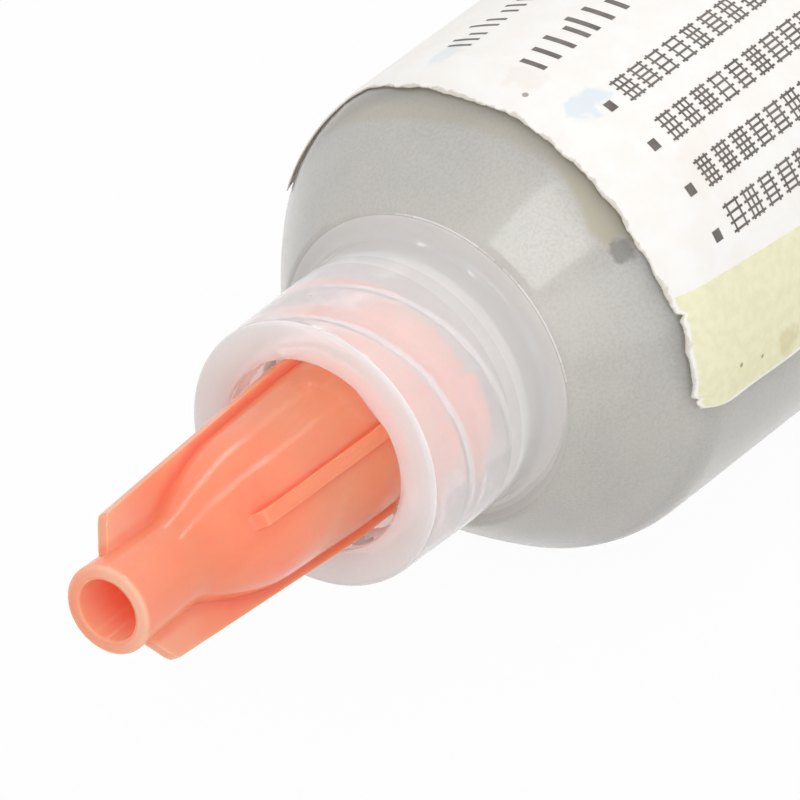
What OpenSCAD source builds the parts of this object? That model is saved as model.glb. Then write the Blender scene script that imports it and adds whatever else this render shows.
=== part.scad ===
// Filled dispensing syringe for solder paste, lying on its side.
// The axis runs along X with the tip towards -X, and the lowest flat of the
// finger flange rests on the ground plane. Sizes are in millimetres.

/* [Barrel] */
// Outer diameter of the tube
barrel_d = 18.4; // [16:0.1:22]
// Wall of the tube and of the shoulder
barrel_wall = 1.2; // [0.9:0.05:1.6]
// Straight tube from the shoulder to the back of the finger flange
tube_len = 75.6; // [66:0.1:95]
// Slope of the shoulder's cone to the axis, in degrees
shoulder_angle = 35; // [28:1:42]
// Radius that rounds the shoulder into the tube
shoulder_round = 2.2; // [1.8:0.1:3]

/* [Collar] */
// Outer diameter of the collar at its mouth
collar_mouth_d = 10.14; // [9.8:0.02:11]
// Growth of the collar's diameter from its mouth to its root
collar_draft = 0.26; // [0:0.02:0.6]
// Length of the collar outside, up to the step at its root
collar_len = 7.0; // [6:0.1:8.5]
// Diameter of the bore that carries the thread
collar_bore_d = 8.06; // [7.9:0.02:8.3]
// Depth of that bore
collar_depth = 6.6; // [5.8:0.1:7]
// Bevel at the mouth of the bore
collar_lead = 0.35; // [0.1:0.05:0.5]
// Rounding of the rim of the collar
collar_edge = 0.25; // [0.1:0.05:0.4]
// Hollow that joins the collar to the step at its root
root_fillet = 0.7; // [0.3:0.05:0.9]
// Diameter of the step at the root of the collar
root_step_d = 12.2; // [12:0.1:13]
// Thickness of that step
root_step_len = 0.3; // [0.1:0.05:0.6]

/* [Spout] */
// Diameter of the spout at its tip
spout_tip_d = 3.94; // [3.9:0.01:4]
// How far the spout stands out of the collar
spout_reach = 2.1; // [1.5:0.1:3]
// Taper of the spout, as growth in diameter per length
luer_taper = 0.06; // [0.055:0.001:0.065]
// Bore through the spout
spout_bore_d = 2.4; // [1.8:0.1:2.6]
// Rounding of the spout's tip
spout_edge = 0.2; // [0.05:0.05:0.3]

/* [Finger flange] */
// Diameter across the two ears
flange_d = 26.4; // [23:0.1:32]
// Distance from the axis to each flat of the flange
flange_flat = 9.6; // [9.3:0.1:10.5]
// Thickness of the flange
flange_t = 2.0; // [1.4:0.1:3]
// Rounding of the flange's edges
flange_edge = 0.5; // [0.2:0.05:0.65]
// Hollow that joins the tube to the flange
flange_fillet = 0.4; // [0.1:0.05:0.8]
// Bevel that lets the piston into the tube
tube_lead = 0.4; // [0.1:0.05:0.6]

/* [Label] */
// Thickness of the paper
label_t = 0.12; // [0.08:0.01:0.2]
// Length of the label along the tube
label_len = 52; // [40:1:60]
// Distance from the mouth of the collar to the front edge of the label
label_front = 10.0; // [9.5:0.1:13]
// Angle from the top down to the near lower edge, in degrees
label_near = 94; // [60:1:110]
// Angle from the top down to the far lower edge, in degrees
label_far = 76; // [60:1:110]

/* [Paste] */
// Length of the paste in the straight tube
paste_len = 45; // [20:1:50]
// Gap between the paste and the wall
paste_gap = 0.02; // [0.01:0.01:0.05]
// Gap between the paste and the piston
paste_piston_gap = 0.1; // [0.05:0.05:0.3]
// Distance from the end of the paste to the opening of the spout
paste_setback = 0.6; // [0.2:0.1:2]

/* [Piston] */
// Length of the piston
piston_len = 13; // [11:0.5:16]
// Radial clearance of the piston's lips in the tube
piston_clear = 0.05; // [0.02:0.01:0.1]
// Height of the piston's nose
nose_len = 3.2; // [2:0.1:4]
// Distance left between the piston's nose and the shoulder when pushed fully in
stroke_spare = 0.5; // [0.3:0.1:3]
// Width of each sealing lip
lip_len = 1.5; // [1:0.1:2]
// Depth of the waist between the lips
waist_depth = 0.6; // [0.3:0.05:0.8]
// Wall of the piston's skirt
skirt_wall = 1.3; // [1:0.05:1.5]
// Depth of the skirt's hollow from the back
skirt_depth = 4.8; // [3:0.1:6]
// Diameter of the socket that takes the rod
socket_d = 8.2; // [6:0.1:9]
// Depth of the socket below the hollow
socket_depth = 3.8; // [2.5:0.1:4]

/* [Plunger rod] */
// Width across the ribs of the rod
rod_w = 11.4; // [9:0.1:11.6]
// Thickness of each rib of the rod
rod_rib_t = 1.5; // [1.2:0.1:2.2]
// Clearance of the rod in the piston
rod_clear = 0.1; // [0.05:0.01:0.2]
// Thickness of the disc that bears on the piston
rod_disc_t = 1.5; // [1:0.1:2.5]
// Number of stiffening webs along the rod
rod_webs = 3; // [1:1:5]
// Thickness of each stiffening web
web_t = 1.2; // [0.8:0.1:2]
// Length of the rod left outside when it is pushed fully in
rod_spare = 4; // [3:0.5:12]
// Diameter of the thumb disc
thumb_d = 16.8; // [14:0.2:18]
// Thickness of the thumb disc
thumb_t = 2.2; // [1.6:0.1:3]
// Rounding of the thumb disc's edges
thumb_edge = 0.7; // [0.3:0.05:0.8]

/* [Tip cap] */
// Distance from the cap's front rim to the mouth of the collar
cap_reach = 12.43; // [11:0.01:14]
// Length of the cap inside the collar
cap_seat = 4.7; // [4:0.1:5.4]
// Diameter of the stub at its rim
stub_d = 3.37; // [3.1:0.01:3.8]
// Diameter of the stub where the cone starts
stub_root_d = 3.22; // [3:0.01:3.5]
// Rounding of the stub's rim
stub_edge = 0.24; // [0.1:0.02:0.3]
// Length of the stub in front of the cone
stub_len = 3.7; // [3:0.1:4.5]
// Diameter of the blind hole in the stub
stub_hole_d = 2.3; // [1.8:0.05:2.5]
// Depth of that hole
stub_hole_depth = 5.6; // [4:0.1:6]
// Length of the cone between the stub and the body
cone_len = 3.6; // [3:0.1:4.5]
// How far the cone bulges outward halfway along
cone_bulge = 0.1; // [0:0.02:0.2]
// Diameter of the body where the cone ends
body_d = 5.5; // [5.2:0.05:5.7]
// Diameter of the body at the mouth of the collar
body_back_d = 6.0; // [5.8:0.05:6.2]
// Turn of the wings about the axis from upright, in degrees
wing_turn = 31.5; // [0:0.5:90]
// Thickness of each long wing
wing_t = 0.45; // [0.35:0.05:0.7]
// Radius of the wings' outer edge at the front
wing_front_r = 2.8; // [2.6:0.05:3]
// Radius of the wings' outer edge at the mouth of the collar
wing_back_r = 3.34; // [3.2:0.02:3.4]
// Distance from the rim to the root of the wings
wing_start = 1.1; // [0.8:0.1:1.5]
// How far the wings' front edges slant back
wing_slant = 0.7; // [0.3:0.1:1.2]
// Width of each short rib
rib_w = 0.56; // [0.4:0.02:0.8]
// Distance from the rim to the nose of the short ribs
rib_start = 5.85; // [5.5:0.05:6.6]
// Rounding of the nose of the short ribs
rib_nose = 0.5; // [0.3:0.05:0.8]
// Radius of the short ribs' outer face behind their nose
rib_front_r = 2.98; // [2.9:0.02:3.1]
// Radius of the short ribs' outer face at the mouth of the collar
rib_back_r = 3.26; // [3.15:0.02:3.34]
// Diameter of the ring at the cap's open end
ring_d = 6.9; // [6.7:0.02:7]
// Length of that ring
ring_len = 1.5; // [1:0.1:2]
// Slope between the body and that ring
ring_bevel = 0.3; // [0.1:0.05:0.6]
// Diameter over the two thread lugs
lug_d = 7.76; // [7.6:0.02:7.8]
// Length of each lug round the ring, in degrees
lug_arc = 40; // [30:2:44]
// Turn of the lugs about the axis from upright, where the thread's groove meets them
lug_turn = 77; // [0:1:180]
// Thickness of each lug along the axis
lug_t = 0.8; // [0.6:0.05:1]
// Distance from the cap's open end to the lugs
lug_inset = 0.1; // [0:0.05:0.4]
// Clearance between the spout and the cap's socket
luer_clear = 0.03; // [0.02:0.01:0.06]
// Distance from the tip of the spout to the floor of the socket
socket_end_gap = 1.2; // [0.5:0.1:2]

/* [Hidden] */
turn_fn = 96;
arc_steps = 8;
nose_steps = 6;
overcut = 1;
milky = [0.88, 0.88, 0.86, 0.55];

// Stations along the axis count from the mouth of the collar towards the back.
barrel_r = barrel_d / 2;
bore_r = barrel_r - barrel_wall;
collar_mouth_r = collar_mouth_d / 2;
collar_root_r = collar_mouth_r + collar_draft / 2;
collar_bore_r = collar_bore_d / 2;
root_step_r = root_step_d / 2;
shoulder_start = collar_len + root_step_len;
shoulder_tangent_r = barrel_r - shoulder_round * (1 - cos(shoulder_angle));
shoulder_tangent_s = shoulder_start + (shoulder_tangent_r - root_step_r) / tan(shoulder_angle);
tube_start = shoulder_tangent_s + shoulder_round * sin(shoulder_angle);
tube_end = tube_start + tube_len;
shoulder_centre_r = barrel_r - shoulder_round;
inner_round = shoulder_round - barrel_wall;
floor_s = collar_depth + barrel_wall;
inner_tangent_s = tube_start - inner_round * sin(shoulder_angle);
inner_tangent_r = shoulder_centre_r + inner_round * cos(shoulder_angle);
floor_r = inner_tangent_r - (inner_tangent_s - floor_s) * tan(shoulder_angle);
spout_bore_r = spout_bore_d / 2;
spout_tip_r = spout_tip_d / 2;
flange_r = flange_d / 2;
flange_start = tube_end - flange_t;

piston_start = tube_start + paste_len;
piston_back = piston_start + piston_len;
lip_r = bore_r - piston_clear;
waist_r = lip_r - waist_depth;
skirt_r = waist_r - skirt_wall;
socket_r = socket_d / 2;
ledge_s = piston_back - skirt_depth;
stroke = paste_len - stroke_spare;

rod_r = rod_w / 2;
rod_front = ledge_s - socket_depth + rod_clear;
rod_disc_s = ledge_s + rod_clear;
thumb_s = tube_end + stroke + rod_spare;
thumb_r = thumb_d / 2;

cap_front = -cap_reach;
stub_r = stub_d / 2;
stub_root_r = stub_root_d / 2;
stub_hole_r = stub_hole_d / 2;
body_r = body_d / 2;
body_back_r = body_back_d / 2;
cone_start = cap_front + stub_len;
cone_end = cone_start + cone_len;
ring_r = ring_d / 2;
lug_r = lug_d / 2;
lug_s = cap_seat - lug_t - lug_inset;
ring_start = cap_seat - ring_len;
body_end = ring_start - ring_bevel;

// The model stands on its lowest flat, centred along its length.
front_s = cap_front;
back_s = thumb_s + thumb_t;
middle_s = (front_s + back_s) / 2;
axis_height = flange_flat;

// Points of a round stretch: centre, radius, first and last angle.
function arc(cs, cr, r, a0, a1) =
    [for (i = [0 : arc_steps]) let (a = a0 + (a1 - a0) * i / arc_steps) [cs + r * cos(a), cr + r * sin(a)]];

// Radius of the spout's tapered outside at a station.
function spout_radius(s) = spout_tip_r + (s + spout_reach) * luer_taper / 2;

// Inside of the barrel from the spout's opening to the tube, brought in by a gap.
function cavity_front(s0, gap) = concat(
    [[s0, spout_bore_r - gap], [floor_s + gap, spout_bore_r - gap], [floor_s + gap, floor_r - gap]],
    [for (p = arc(tube_start, shoulder_centre_r, inner_round - gap, 90 + shoulder_angle, 90)) p]);

// A solid of revolution about the X axis from points given as station and radius.
module turned(points) {
    rotate([0, 90, 0])
        rotate_extrude($fn = turn_fn)
            polygon([for (p = points) [p[1], p[0]]]);
}

// Moves a piece from stations along the axis into the resting frame.
module in_frame() {
    translate([-middle_s, 0, axis_height])
        children();
}

// Outside of the barrel from the mouth of the collar to the back of the flange.
function barrel_outside() = concat(
    arc(collar_edge, collar_mouth_r - collar_edge, collar_edge, 180, 90),
    arc(collar_len - root_fillet, collar_root_r + root_fillet, root_fillet, -90, 0),
    [[collar_len, root_step_r], [shoulder_start, root_step_r]],
    arc(tube_start, shoulder_centre_r, shoulder_round, 90 + shoulder_angle, 90),
    arc(flange_start - flange_fillet, barrel_r + flange_fillet, flange_fillet, -90, 0),
    arc(flange_start + flange_edge, flange_r - flange_edge, flange_edge, 180, 90),
    arc(tube_end - flange_edge, flange_r - flange_edge, flange_edge, 90, 0));

// Inside of the barrel from the back to the spout's opening.
function barrel_inside() =
    let (front = cavity_front(-spout_reach, 0))
    concat(
        [[tube_end, bore_r + tube_lead], [tube_end - tube_lead, bore_r]],
        [for (i = [len(front) - 1 : -1 : 0]) front[i]]);

// Spout and the inside of the collar, from the spout's tip back to the mouth.
function luer_profile() = concat(
    arc(-spout_reach + spout_edge, spout_tip_r - spout_edge, spout_edge, 180, 90),
    [[collar_depth, spout_radius(collar_depth)],
     [collar_depth, collar_bore_r],
     [collar_lead, collar_bore_r],
     [0, collar_bore_r + collar_lead]]);

module barrel() {
    color(milky)
        in_frame()
            difference() {
                turned(concat(barrel_outside(), barrel_inside(), luer_profile()));
                for (side = [-1, 1])
                    translate([flange_start - overcut, -flange_r - overcut,
                               side > 0 ? flange_flat : -flange_flat - flange_r])
                        cube([flange_t + 2 * overcut, flange_d + 2 * overcut, flange_r]);
            }
}

// Domed outline of the piston's nose, from the axis out to the front lip, moved by a gap.
function nose_points(gap) = [for (i = [0 : nose_steps])
    let (a = 90 * i / nose_steps)
    [piston_start - gap + nose_len * (1 - cos(a)), lip_r * sin(a)]];

module solder_paste() {
    nose = nose_points(paste_piston_gap);
    nose_edge = nose[nose_steps];
    color([0.72, 0.72, 0.69])
        in_frame()
            turned(concat(
                [[-spout_reach + paste_setback, 0]],
                cavity_front(-spout_reach + paste_setback, paste_gap),
                [[nose_edge[0], bore_r - paste_gap]],
                [for (i = [nose_steps : -1 : 0]) nose[i]]));
}

// Outside of the piston behind its nose: lip, waist and second lip.
function piston_outside() =
    let (front = piston_start + nose_len + lip_len, back = piston_back - lip_len)
    [[front, lip_r],
     [front + waist_depth, waist_r],
     [back - waist_depth, waist_r],
     [back, lip_r],
     [piston_back, lip_r]];

// Hollow of the piston's skirt and the socket below it.
function piston_inside() = [
    [piston_back, skirt_r],
    [ledge_s, skirt_r],
    [ledge_s, socket_r],
    [ledge_s - socket_depth, socket_r],
    [ledge_s - socket_depth, 0]];

module piston() {
    color([0.93, 0.93, 0.91])
        in_frame()
            turned(concat(nose_points(0), piston_outside(), piston_inside()));
}

// Boss that sits in the piston's socket, and the disc that bears on its ledge.
module rod_nose() {
    boss_r = socket_r - rod_clear;
    disc_r = skirt_r - rod_clear;
    bevel = 0.4;
    turned([
        [rod_front, 0],
        [rod_front, boss_r - bevel],
        [rod_front + bevel, boss_r],
        [rod_disc_s, boss_r],
        [rod_disc_s, disc_r],
        [rod_disc_s + rod_disc_t, disc_r],
        [rod_disc_s + rod_disc_t, 0]]);
}

// Two crossed plates, clipped to the rod's round outline, with webs along them.
module rod_shaft() {
    shaft_s = rod_disc_s + rod_disc_t / 2;
    shaft_len = thumb_s + thumb_t / 2 - shaft_s;
    pitch = shaft_len / (rod_webs + 1);
    for (turn = [0, 90])
        rotate([turn, 0, 0])
            translate([shaft_s, -rod_r, -rod_rib_t / 2])
                cube([shaft_len, rod_w, rod_rib_t]);
    for (i = [1 : rod_webs])
        translate([shaft_s + i * pitch - web_t / 2, 0, 0])
            rotate([0, 90, 0])
                cylinder(h = web_t, r = rod_r, $fn = turn_fn);
}

// Thumb disc with rounded edges and a shallow dish on its outer face.
module thumb_disc() {
    dish = 0.5;
    dish_r = thumb_r - 2 * thumb_edge;
    turned(concat(
        [[thumb_s, 0]],
        arc(thumb_s + thumb_edge, thumb_r - thumb_edge, thumb_edge, 180, 90),
        arc(thumb_s + thumb_t - thumb_edge, thumb_r - thumb_edge, thumb_edge, 90, 0),
        [[thumb_s + thumb_t, dish_r],
         [thumb_s + thumb_t - dish, dish_r - 2 * dish],
         [thumb_s + thumb_t - dish, 0]]));
}

module plunger_rod() {
    color([0.93, 0.93, 0.91])
        in_frame()
            union() {
                rod_nose();
                rod_shaft();
                thumb_disc();
            }
}

// Outside of the cap without wings: stub, cone, body and the ring at its open end.
function cap_outside() = concat(
    arc(cap_front + stub_edge, stub_r - stub_edge, stub_edge, 180, 90),
    [[cone_start, stub_root_r],
     [cone_start + cone_len / 2, (stub_root_r + body_r) / 2 + cone_bulge],
     [cone_end, body_r],
     [0, body_back_r],
     [body_end, body_back_r],
     [ring_start, ring_r],
     [cap_seat, ring_r]]);

// The socket fits the spout with one clearance all along its taper.
function cap_socket() = [
    [cap_seat, spout_radius(cap_seat) + luer_clear],
    [-spout_reach - socket_end_gap, spout_radius(-spout_reach - socket_end_gap) + luer_clear],
    [-spout_reach - socket_end_gap, 0]];

// Blind hole in the stub, bevelled at its mouth and narrower at its floor.
module stub_hole() {
    bevel = 0.15;
    draft = 0.2;
    turned([
        [cap_front - overcut, 0],
        [cap_front - overcut, stub_hole_r + bevel],
        [cap_front, stub_hole_r + bevel],
        [cap_front + bevel, stub_hole_r],
        [cap_front + stub_hole_depth, stub_hole_r - draft],
        [cap_front + stub_hole_depth, 0]]);
}

// A solid of revolution cut down to a flat blade through the axis.
module blade(points, thickness, turn) {
    width = 2 * (wing_back_r + overcut);
    rotate([turn, 0, 0])
        intersection() {
            turned(points);
            translate([cap_front, -thickness / 2, -width / 2])
                cube([cap_reach + cap_seat, thickness, width]);
        }
}

// Back end of a blade, sloped down to the body in front of the ring.
function blade_end(outer_r) = [
    [0, outer_r],
    [body_end - 2 * (outer_r - body_back_r), outer_r],
    [body_end, body_back_r],
    [body_end, 0]];

// Long wings that run from the stub into the collar.
module wings() {
    corner = 0.15;
    start = cap_front + wing_start;
    outer = start + wing_slant;
    blade(concat([
        [start, 0],
        [start, stub_root_r],
        [outer - corner / 2, wing_front_r - 2 * corner],
        [outer + corner, wing_front_r]],
        blade_end(wing_back_r)), wing_t, -wing_turn);
}

// Short ribs between the wings; their blunt nose stands out of the cone.
module ribs() {
    start = cap_front + rib_start;
    blade(concat(
        [[start, 0]],
        arc(start + rib_nose, rib_front_r - rib_nose, rib_nose, 180, 90),
        blade_end(rib_back_r)), rib_w, 90 - wing_turn);
}

// Two lugs on the ring that lie in the grooves of the collar's thread.
module lugs() {
    sunk = 0.4;
    for (side = [0, 180])
        translate([lug_s, 0, 0])
            rotate([side + lug_turn - lug_arc / 2, 0, 0])
                rotate([0, 90, 0])
                    rotate_extrude(angle = lug_arc, $fn = turn_fn)
                        translate([ring_r - sunk, 0])
                            square([lug_r - ring_r + sunk, lug_t]);
}

module tip_cap() {
    color([0.95, 0.47, 0.36])
        in_frame()
            difference() {
                union() {
                    turned(concat([[cap_front, 0]], cap_outside(), [[cap_seat, 0]]));
                    wings();
                    ribs();
                    lugs();
                }
                turned(concat([[cap_seat + overcut, 0], [cap_seat + overcut, spout_radius(cap_seat) + luer_clear]],
                              cap_socket()));
                stub_hole();
            }
}

// Paper sheet round the tube; its front edge stands out over the shoulder.
module label() {
    color([0.95, 0.94, 0.92])
        in_frame()
            translate([label_front, 0, 0])
                rotate([-label_far, 0, 0])
                    rotate([0, 90, 0])
                        rotate([0, 0, 180])
                            rotate_extrude(angle = label_far + label_near, $fn = turn_fn)
                                translate([barrel_r, 0])
                                    square([label_t, label_len]);
}

barrel();
solder_paste();
piston();
plunger_rod();
tip_cap();
label();
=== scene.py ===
import logging
from collections.abc import Callable, Mapping, Sequence
from dataclasses import dataclass
from enum import Enum, IntEnum

import bpy
import numpy as np
from mathutils import Matrix, Vector


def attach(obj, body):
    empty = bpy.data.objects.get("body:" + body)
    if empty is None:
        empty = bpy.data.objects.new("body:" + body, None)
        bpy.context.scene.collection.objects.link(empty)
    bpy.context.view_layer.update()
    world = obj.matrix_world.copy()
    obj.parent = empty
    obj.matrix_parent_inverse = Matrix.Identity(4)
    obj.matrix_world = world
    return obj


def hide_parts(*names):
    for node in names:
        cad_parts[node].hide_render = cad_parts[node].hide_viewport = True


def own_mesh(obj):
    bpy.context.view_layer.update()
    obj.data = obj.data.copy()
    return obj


# A station is a distance along the axis, in millimetres from the mouth of the collar towards the
# back. A turn is an angle about the axis, in degrees from straight up towards the near side, -Y.

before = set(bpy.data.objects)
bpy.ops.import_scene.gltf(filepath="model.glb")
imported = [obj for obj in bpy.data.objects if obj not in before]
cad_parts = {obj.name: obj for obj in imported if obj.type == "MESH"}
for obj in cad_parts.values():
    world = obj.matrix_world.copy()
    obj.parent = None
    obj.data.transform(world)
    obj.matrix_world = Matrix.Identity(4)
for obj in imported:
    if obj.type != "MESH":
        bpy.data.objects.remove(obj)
log = logging.getLogger("syringe")

Socket = bpy.types.NodeSocket
Piece = bpy.types.Object
Tint = tuple[int, int, int]
Triple = tuple[float, float, float]

AXIS_HEIGHT = 9.6
MIDDLE_STATION = 63.1455
MM = 0.001
NO_LENGTH = 1e-7


# Shapes

def place(station: np.ndarray, radius: np.ndarray, turn: np.ndarray) -> np.ndarray:
    """Points in the resting frame, in metres.

    x = station - middle, y = -radius * sin(turn), z = axis height + radius * cos(turn).

    Args:
        station: distances along the axis, in millimetres.
        radius: distances from the axis, in millimetres.
        turn: angles about the axis, in degrees.

    Returns:
        An array of points with one more axis than the inputs, broadcast together.
    """
    station, radius, turn = np.broadcast_arrays(station, radius, turn)
    angle = np.radians(turn)
    return MM * np.stack([station - MIDDLE_STATION,
                          -radius * np.sin(angle),
                          AXIS_HEIGHT + radius * np.cos(angle)], axis=-1)


def pole(station: float) -> np.ndarray:
    """The point of the axis at a station, in metres."""
    return place(station, 0.0, 0.0)


def even_turns(columns: int) -> np.ndarray:
    """A full round of evenly spaced turns."""
    return np.arange(columns) * 360.0 / columns


def turn_away(turns: np.ndarray, middle: float) -> np.ndarray:
    """Degrees from a middle turn to each turn, from -180 to 180."""
    return (turns - middle + 180.0) % 360.0 - 180.0


def between(values: np.ndarray, low: float, high: float) -> np.ndarray:
    """Where the values lie above low and below high."""
    return (values > low) & (values < high)


def halves(outline: np.ndarray) -> tuple[np.ndarray, np.ndarray]:
    """Which rows of an outline lie in its first half, and which in its last."""
    row, middle = np.arange(len(outline))[:, None], len(outline) // 2
    return row < middle, row > middle


def there_and_back(values: np.ndarray) -> np.ndarray:
    """The rows of a grid, followed by the same rows in the opposite order."""
    return np.vstack([values, values[::-1]])


def smooth_step(value: np.ndarray) -> np.ndarray:
    """Eases from 0 to 1 as the value goes from 0 to 1: v * v * (3 - 2v)."""
    v = np.clip(value, 0.0, 1.0)
    return v * v * (3.0 - 2.0 * v)


def soft_max(a: np.ndarray, b: np.ndarray, blend: float) -> np.ndarray:
    """The larger of two values: max(a, b) + h * h * blend / 4, h = max(blend - |a - b|, 0) / blend."""
    h = np.maximum(blend - np.abs(a - b), 0.0) / blend
    return np.maximum(a, b) + h * h * blend / 4.0


def soft_min(a: np.ndarray, b: np.ndarray, blend: float) -> np.ndarray:
    """The smaller of two values with a rounding of the given size: -soft_max(-a, -b)."""
    return -soft_max(-a, -b, blend)


def rounded_outline(corners: Sequence[Sequence[float]], closed: bool, steps: int = 6) -> np.ndarray:
    """An outline through rounded corners, with points along its straights.

    A corner P with rounding q starts at A = P + q * (unit step back) and ends at
    B = P + q * (unit step on), along (1 - t)^2 A + 2t(1 - t) P + t^2 B.

    Args:
        corners: rows of station, radius, rounding and longest step to the next corner.
        closed: whether the last corner runs on to the first.
        steps: pieces in each rounding.

    Returns:
        Rows of station and radius.
    """
    table = np.asarray(corners, dtype=float)
    point, rounding, reach = table[:, :2], table[:, 2:3], table[:, 3]
    back = np.roll(point, 1, axis=0) - point
    ahead = np.roll(point, -1, axis=0) - point
    if not closed:
        back[0], ahead[-1] = 0.0, 0.0
    lengths = [np.linalg.norm(way, axis=1, keepdims=True) for way in (back, ahead)]
    start, end = (point + rounding * (way / np.maximum(length, NO_LENGTH))
                  for way, length in zip((back, ahead), lengths))
    t = np.linspace(0.0, 1.0, steps + 1)[None, :, None]
    bends = (1 - t) ** 2 * start[:, None] + 2 * t * (1 - t) * point[:, None] + t ** 2 * end[:, None]
    path = bends.reshape(-1, 2)
    longest = np.repeat(reach, steps + 1)
    if closed:
        path = np.vstack([path, path[:1]])
    else:
        longest = longest[:-1]
    hop = np.linalg.norm(np.diff(path, axis=0), axis=1)
    count = np.maximum(np.ceil(hop / longest), 1).astype(int) * (hop > NO_LENGTH)
    index = np.repeat(np.arange(len(count)), count)
    first = np.cumsum(count) - count
    share = (np.arange(count.sum()) - first[index]) / count[index]
    points = path[index] + share[:, None] * (path[index + 1] - path[index])
    return points if closed else np.vstack([points, path[-1:]])


def lattice(rows: int, columns: int, ring: bool, tube: bool) -> np.ndarray:
    """Quads of a grid whose vertex (i, j) has the number i * columns + j.

    Args:
        rows: rows of vertices.
        columns: vertices in each row.
        ring: whether the last row joins the first.
        tube: whether the last column joins the first.

    Returns:
        An array of four vertex numbers a quad.
    """
    i = np.arange(rows if ring else rows - 1)[:, None]
    j = np.arange(columns if tube else columns - 1)[None, :]
    next_i, next_j = (i + 1) % rows, (j + 1) % columns
    quads = np.stack(np.broadcast_arrays(i * columns + j, next_i * columns + j,
                                         next_i * columns + next_j, i * columns + next_j), axis=-1)
    return quads.reshape(-1, 4)


def linked(name: str, data: bpy.types.ID) -> Piece:
    """Makes an object and links it to the scene.

    Args:
        name: name of the object.
        data: its mesh, lamp or camera.

    Returns:
        The object.
    """
    made = bpy.data.objects.new(name, data)
    bpy.context.scene.collection.objects.link(made)
    return made


def solid(name: str, points: np.ndarray, quads: np.ndarray, fans: np.ndarray | None = None,
          wrap: np.ndarray | None = None, marks: Mapping[str, np.ndarray] | None = None,
          zones: np.ndarray | None = None, crease: float = 40.0) -> Piece:
    """A closed piece with its faces pointing outwards.

    The faces are turned round where the sum of a . (b x c) over the triangles is negative.

    Args:
        name: name of the piece.
        points: vertices in metres.
        quads: four vertex numbers a face.
        fans: three vertex numbers a face, for the poles.
        wrap: flat coordinates of each vertex, kept as the piece's UV map.
        marks: a value for each vertex under each name, kept as attributes.
        zones: number of the material of each face.
        crease: angle in degrees past which an edge stays sharp.

    Returns:
        The new object, linked to the scene.
    """
    points = points.reshape(-1, 3)
    fans = np.empty((0, 3), dtype=int) if fans is None else fans
    corner = points[np.vstack([quads[:, [0, 1, 2]], quads[:, [0, 2, 3]], fans])]
    volume = np.einsum("ij,ij->i", corner[:, 0], np.cross(corner[:, 1], corner[:, 2])).sum()
    step = -1 if volume < 0 else 1
    faces = quads[:, ::step].tolist() + fans[:, ::step].tolist()
    mesh = bpy.data.meshes.new(name)
    mesh.from_pydata(points.tolist(), [], faces)
    mesh.polygons.foreach_set("use_smooth", np.ones(len(faces), dtype=bool))
    mesh.set_sharp_from_angle(angle=np.radians(crease))
    if wrap is not None:
        loops = np.empty(len(mesh.loops), dtype=np.int32)
        mesh.loops.foreach_get("vertex_index", loops)
        layer = mesh.uv_layers.new(name="wrap")
        layer.data.foreach_set("uv", wrap.reshape(-1, 2)[loops].astype(np.float32).ravel())
    for key, values in (marks or {}).items():
        attribute = mesh.attributes.new(key, "FLOAT", "POINT")
        attribute.data.foreach_set("value", values.astype(np.float32).ravel())
    if zones is not None:
        mesh.polygons.foreach_set("material_index", zones.astype(np.int32).ravel())
    mesh.update()
    return linked(name, mesh)


def turned_points(outline: np.ndarray, turns: np.ndarray) -> np.ndarray:
    """Grid of an outline carried round the axis: row i, column j is outline point i at turn j."""
    return place(outline[:, :1], outline[:, 1:], turns[None, :])


def capped(points: np.ndarray, first: np.ndarray, last: np.ndarray) -> tuple[np.ndarray, ...]:
    """Closes both ends of a tube-shaped grid with a point and a fan of triangles.

    Args:
        points: grid of points, rows by columns by 3.
        first: point that closes the first row.
        last: point that closes the last row.

    Returns:
        The points, the quads and the triangles.
    """
    rows, columns = points.shape[:2]
    everything = np.vstack([points.reshape(-1, 3), first[None], last[None]])
    j = np.arange(columns)
    k = (j + 1) % columns
    base = (rows - 1) * columns
    head = np.stack([np.full(columns, rows * columns), j, k], axis=-1)
    tail = np.stack([np.full(columns, rows * columns + 1), base + k, base + j], axis=-1)
    return everything, lattice(rows, columns, False, True), np.vstack([head, tail])


# Node trees

def light(tint: Tint) -> tuple[float, float, float, float]:
    """Linear colour of an sRGB tint: ((c + 0.055) / 1.055) ^ 2.4, or c / 12.92 where it is dark.

    Args:
        tint: red, green and blue from 0 to 255.

    Returns:
        Linear red, green and blue, and 1 for the alpha.
    """
    c = np.array(tint) / 255.0
    linear = np.where(c <= 0.04045, c / 12.92, ((c + 0.055) / 1.055) ** 2.4)
    return (*linear.tolist(), 1.0)


def emptied(owner: bpy.types.Material | bpy.types.World) -> bpy.types.NodeTree:
    """Switches on the node tree of a material or a world and empties it.

    Args:
        owner: the material or world.

    Returns:
        Its empty tree.
    """
    owner.use_nodes = True
    owner.node_tree.nodes.clear()
    return owner.node_tree


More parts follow.
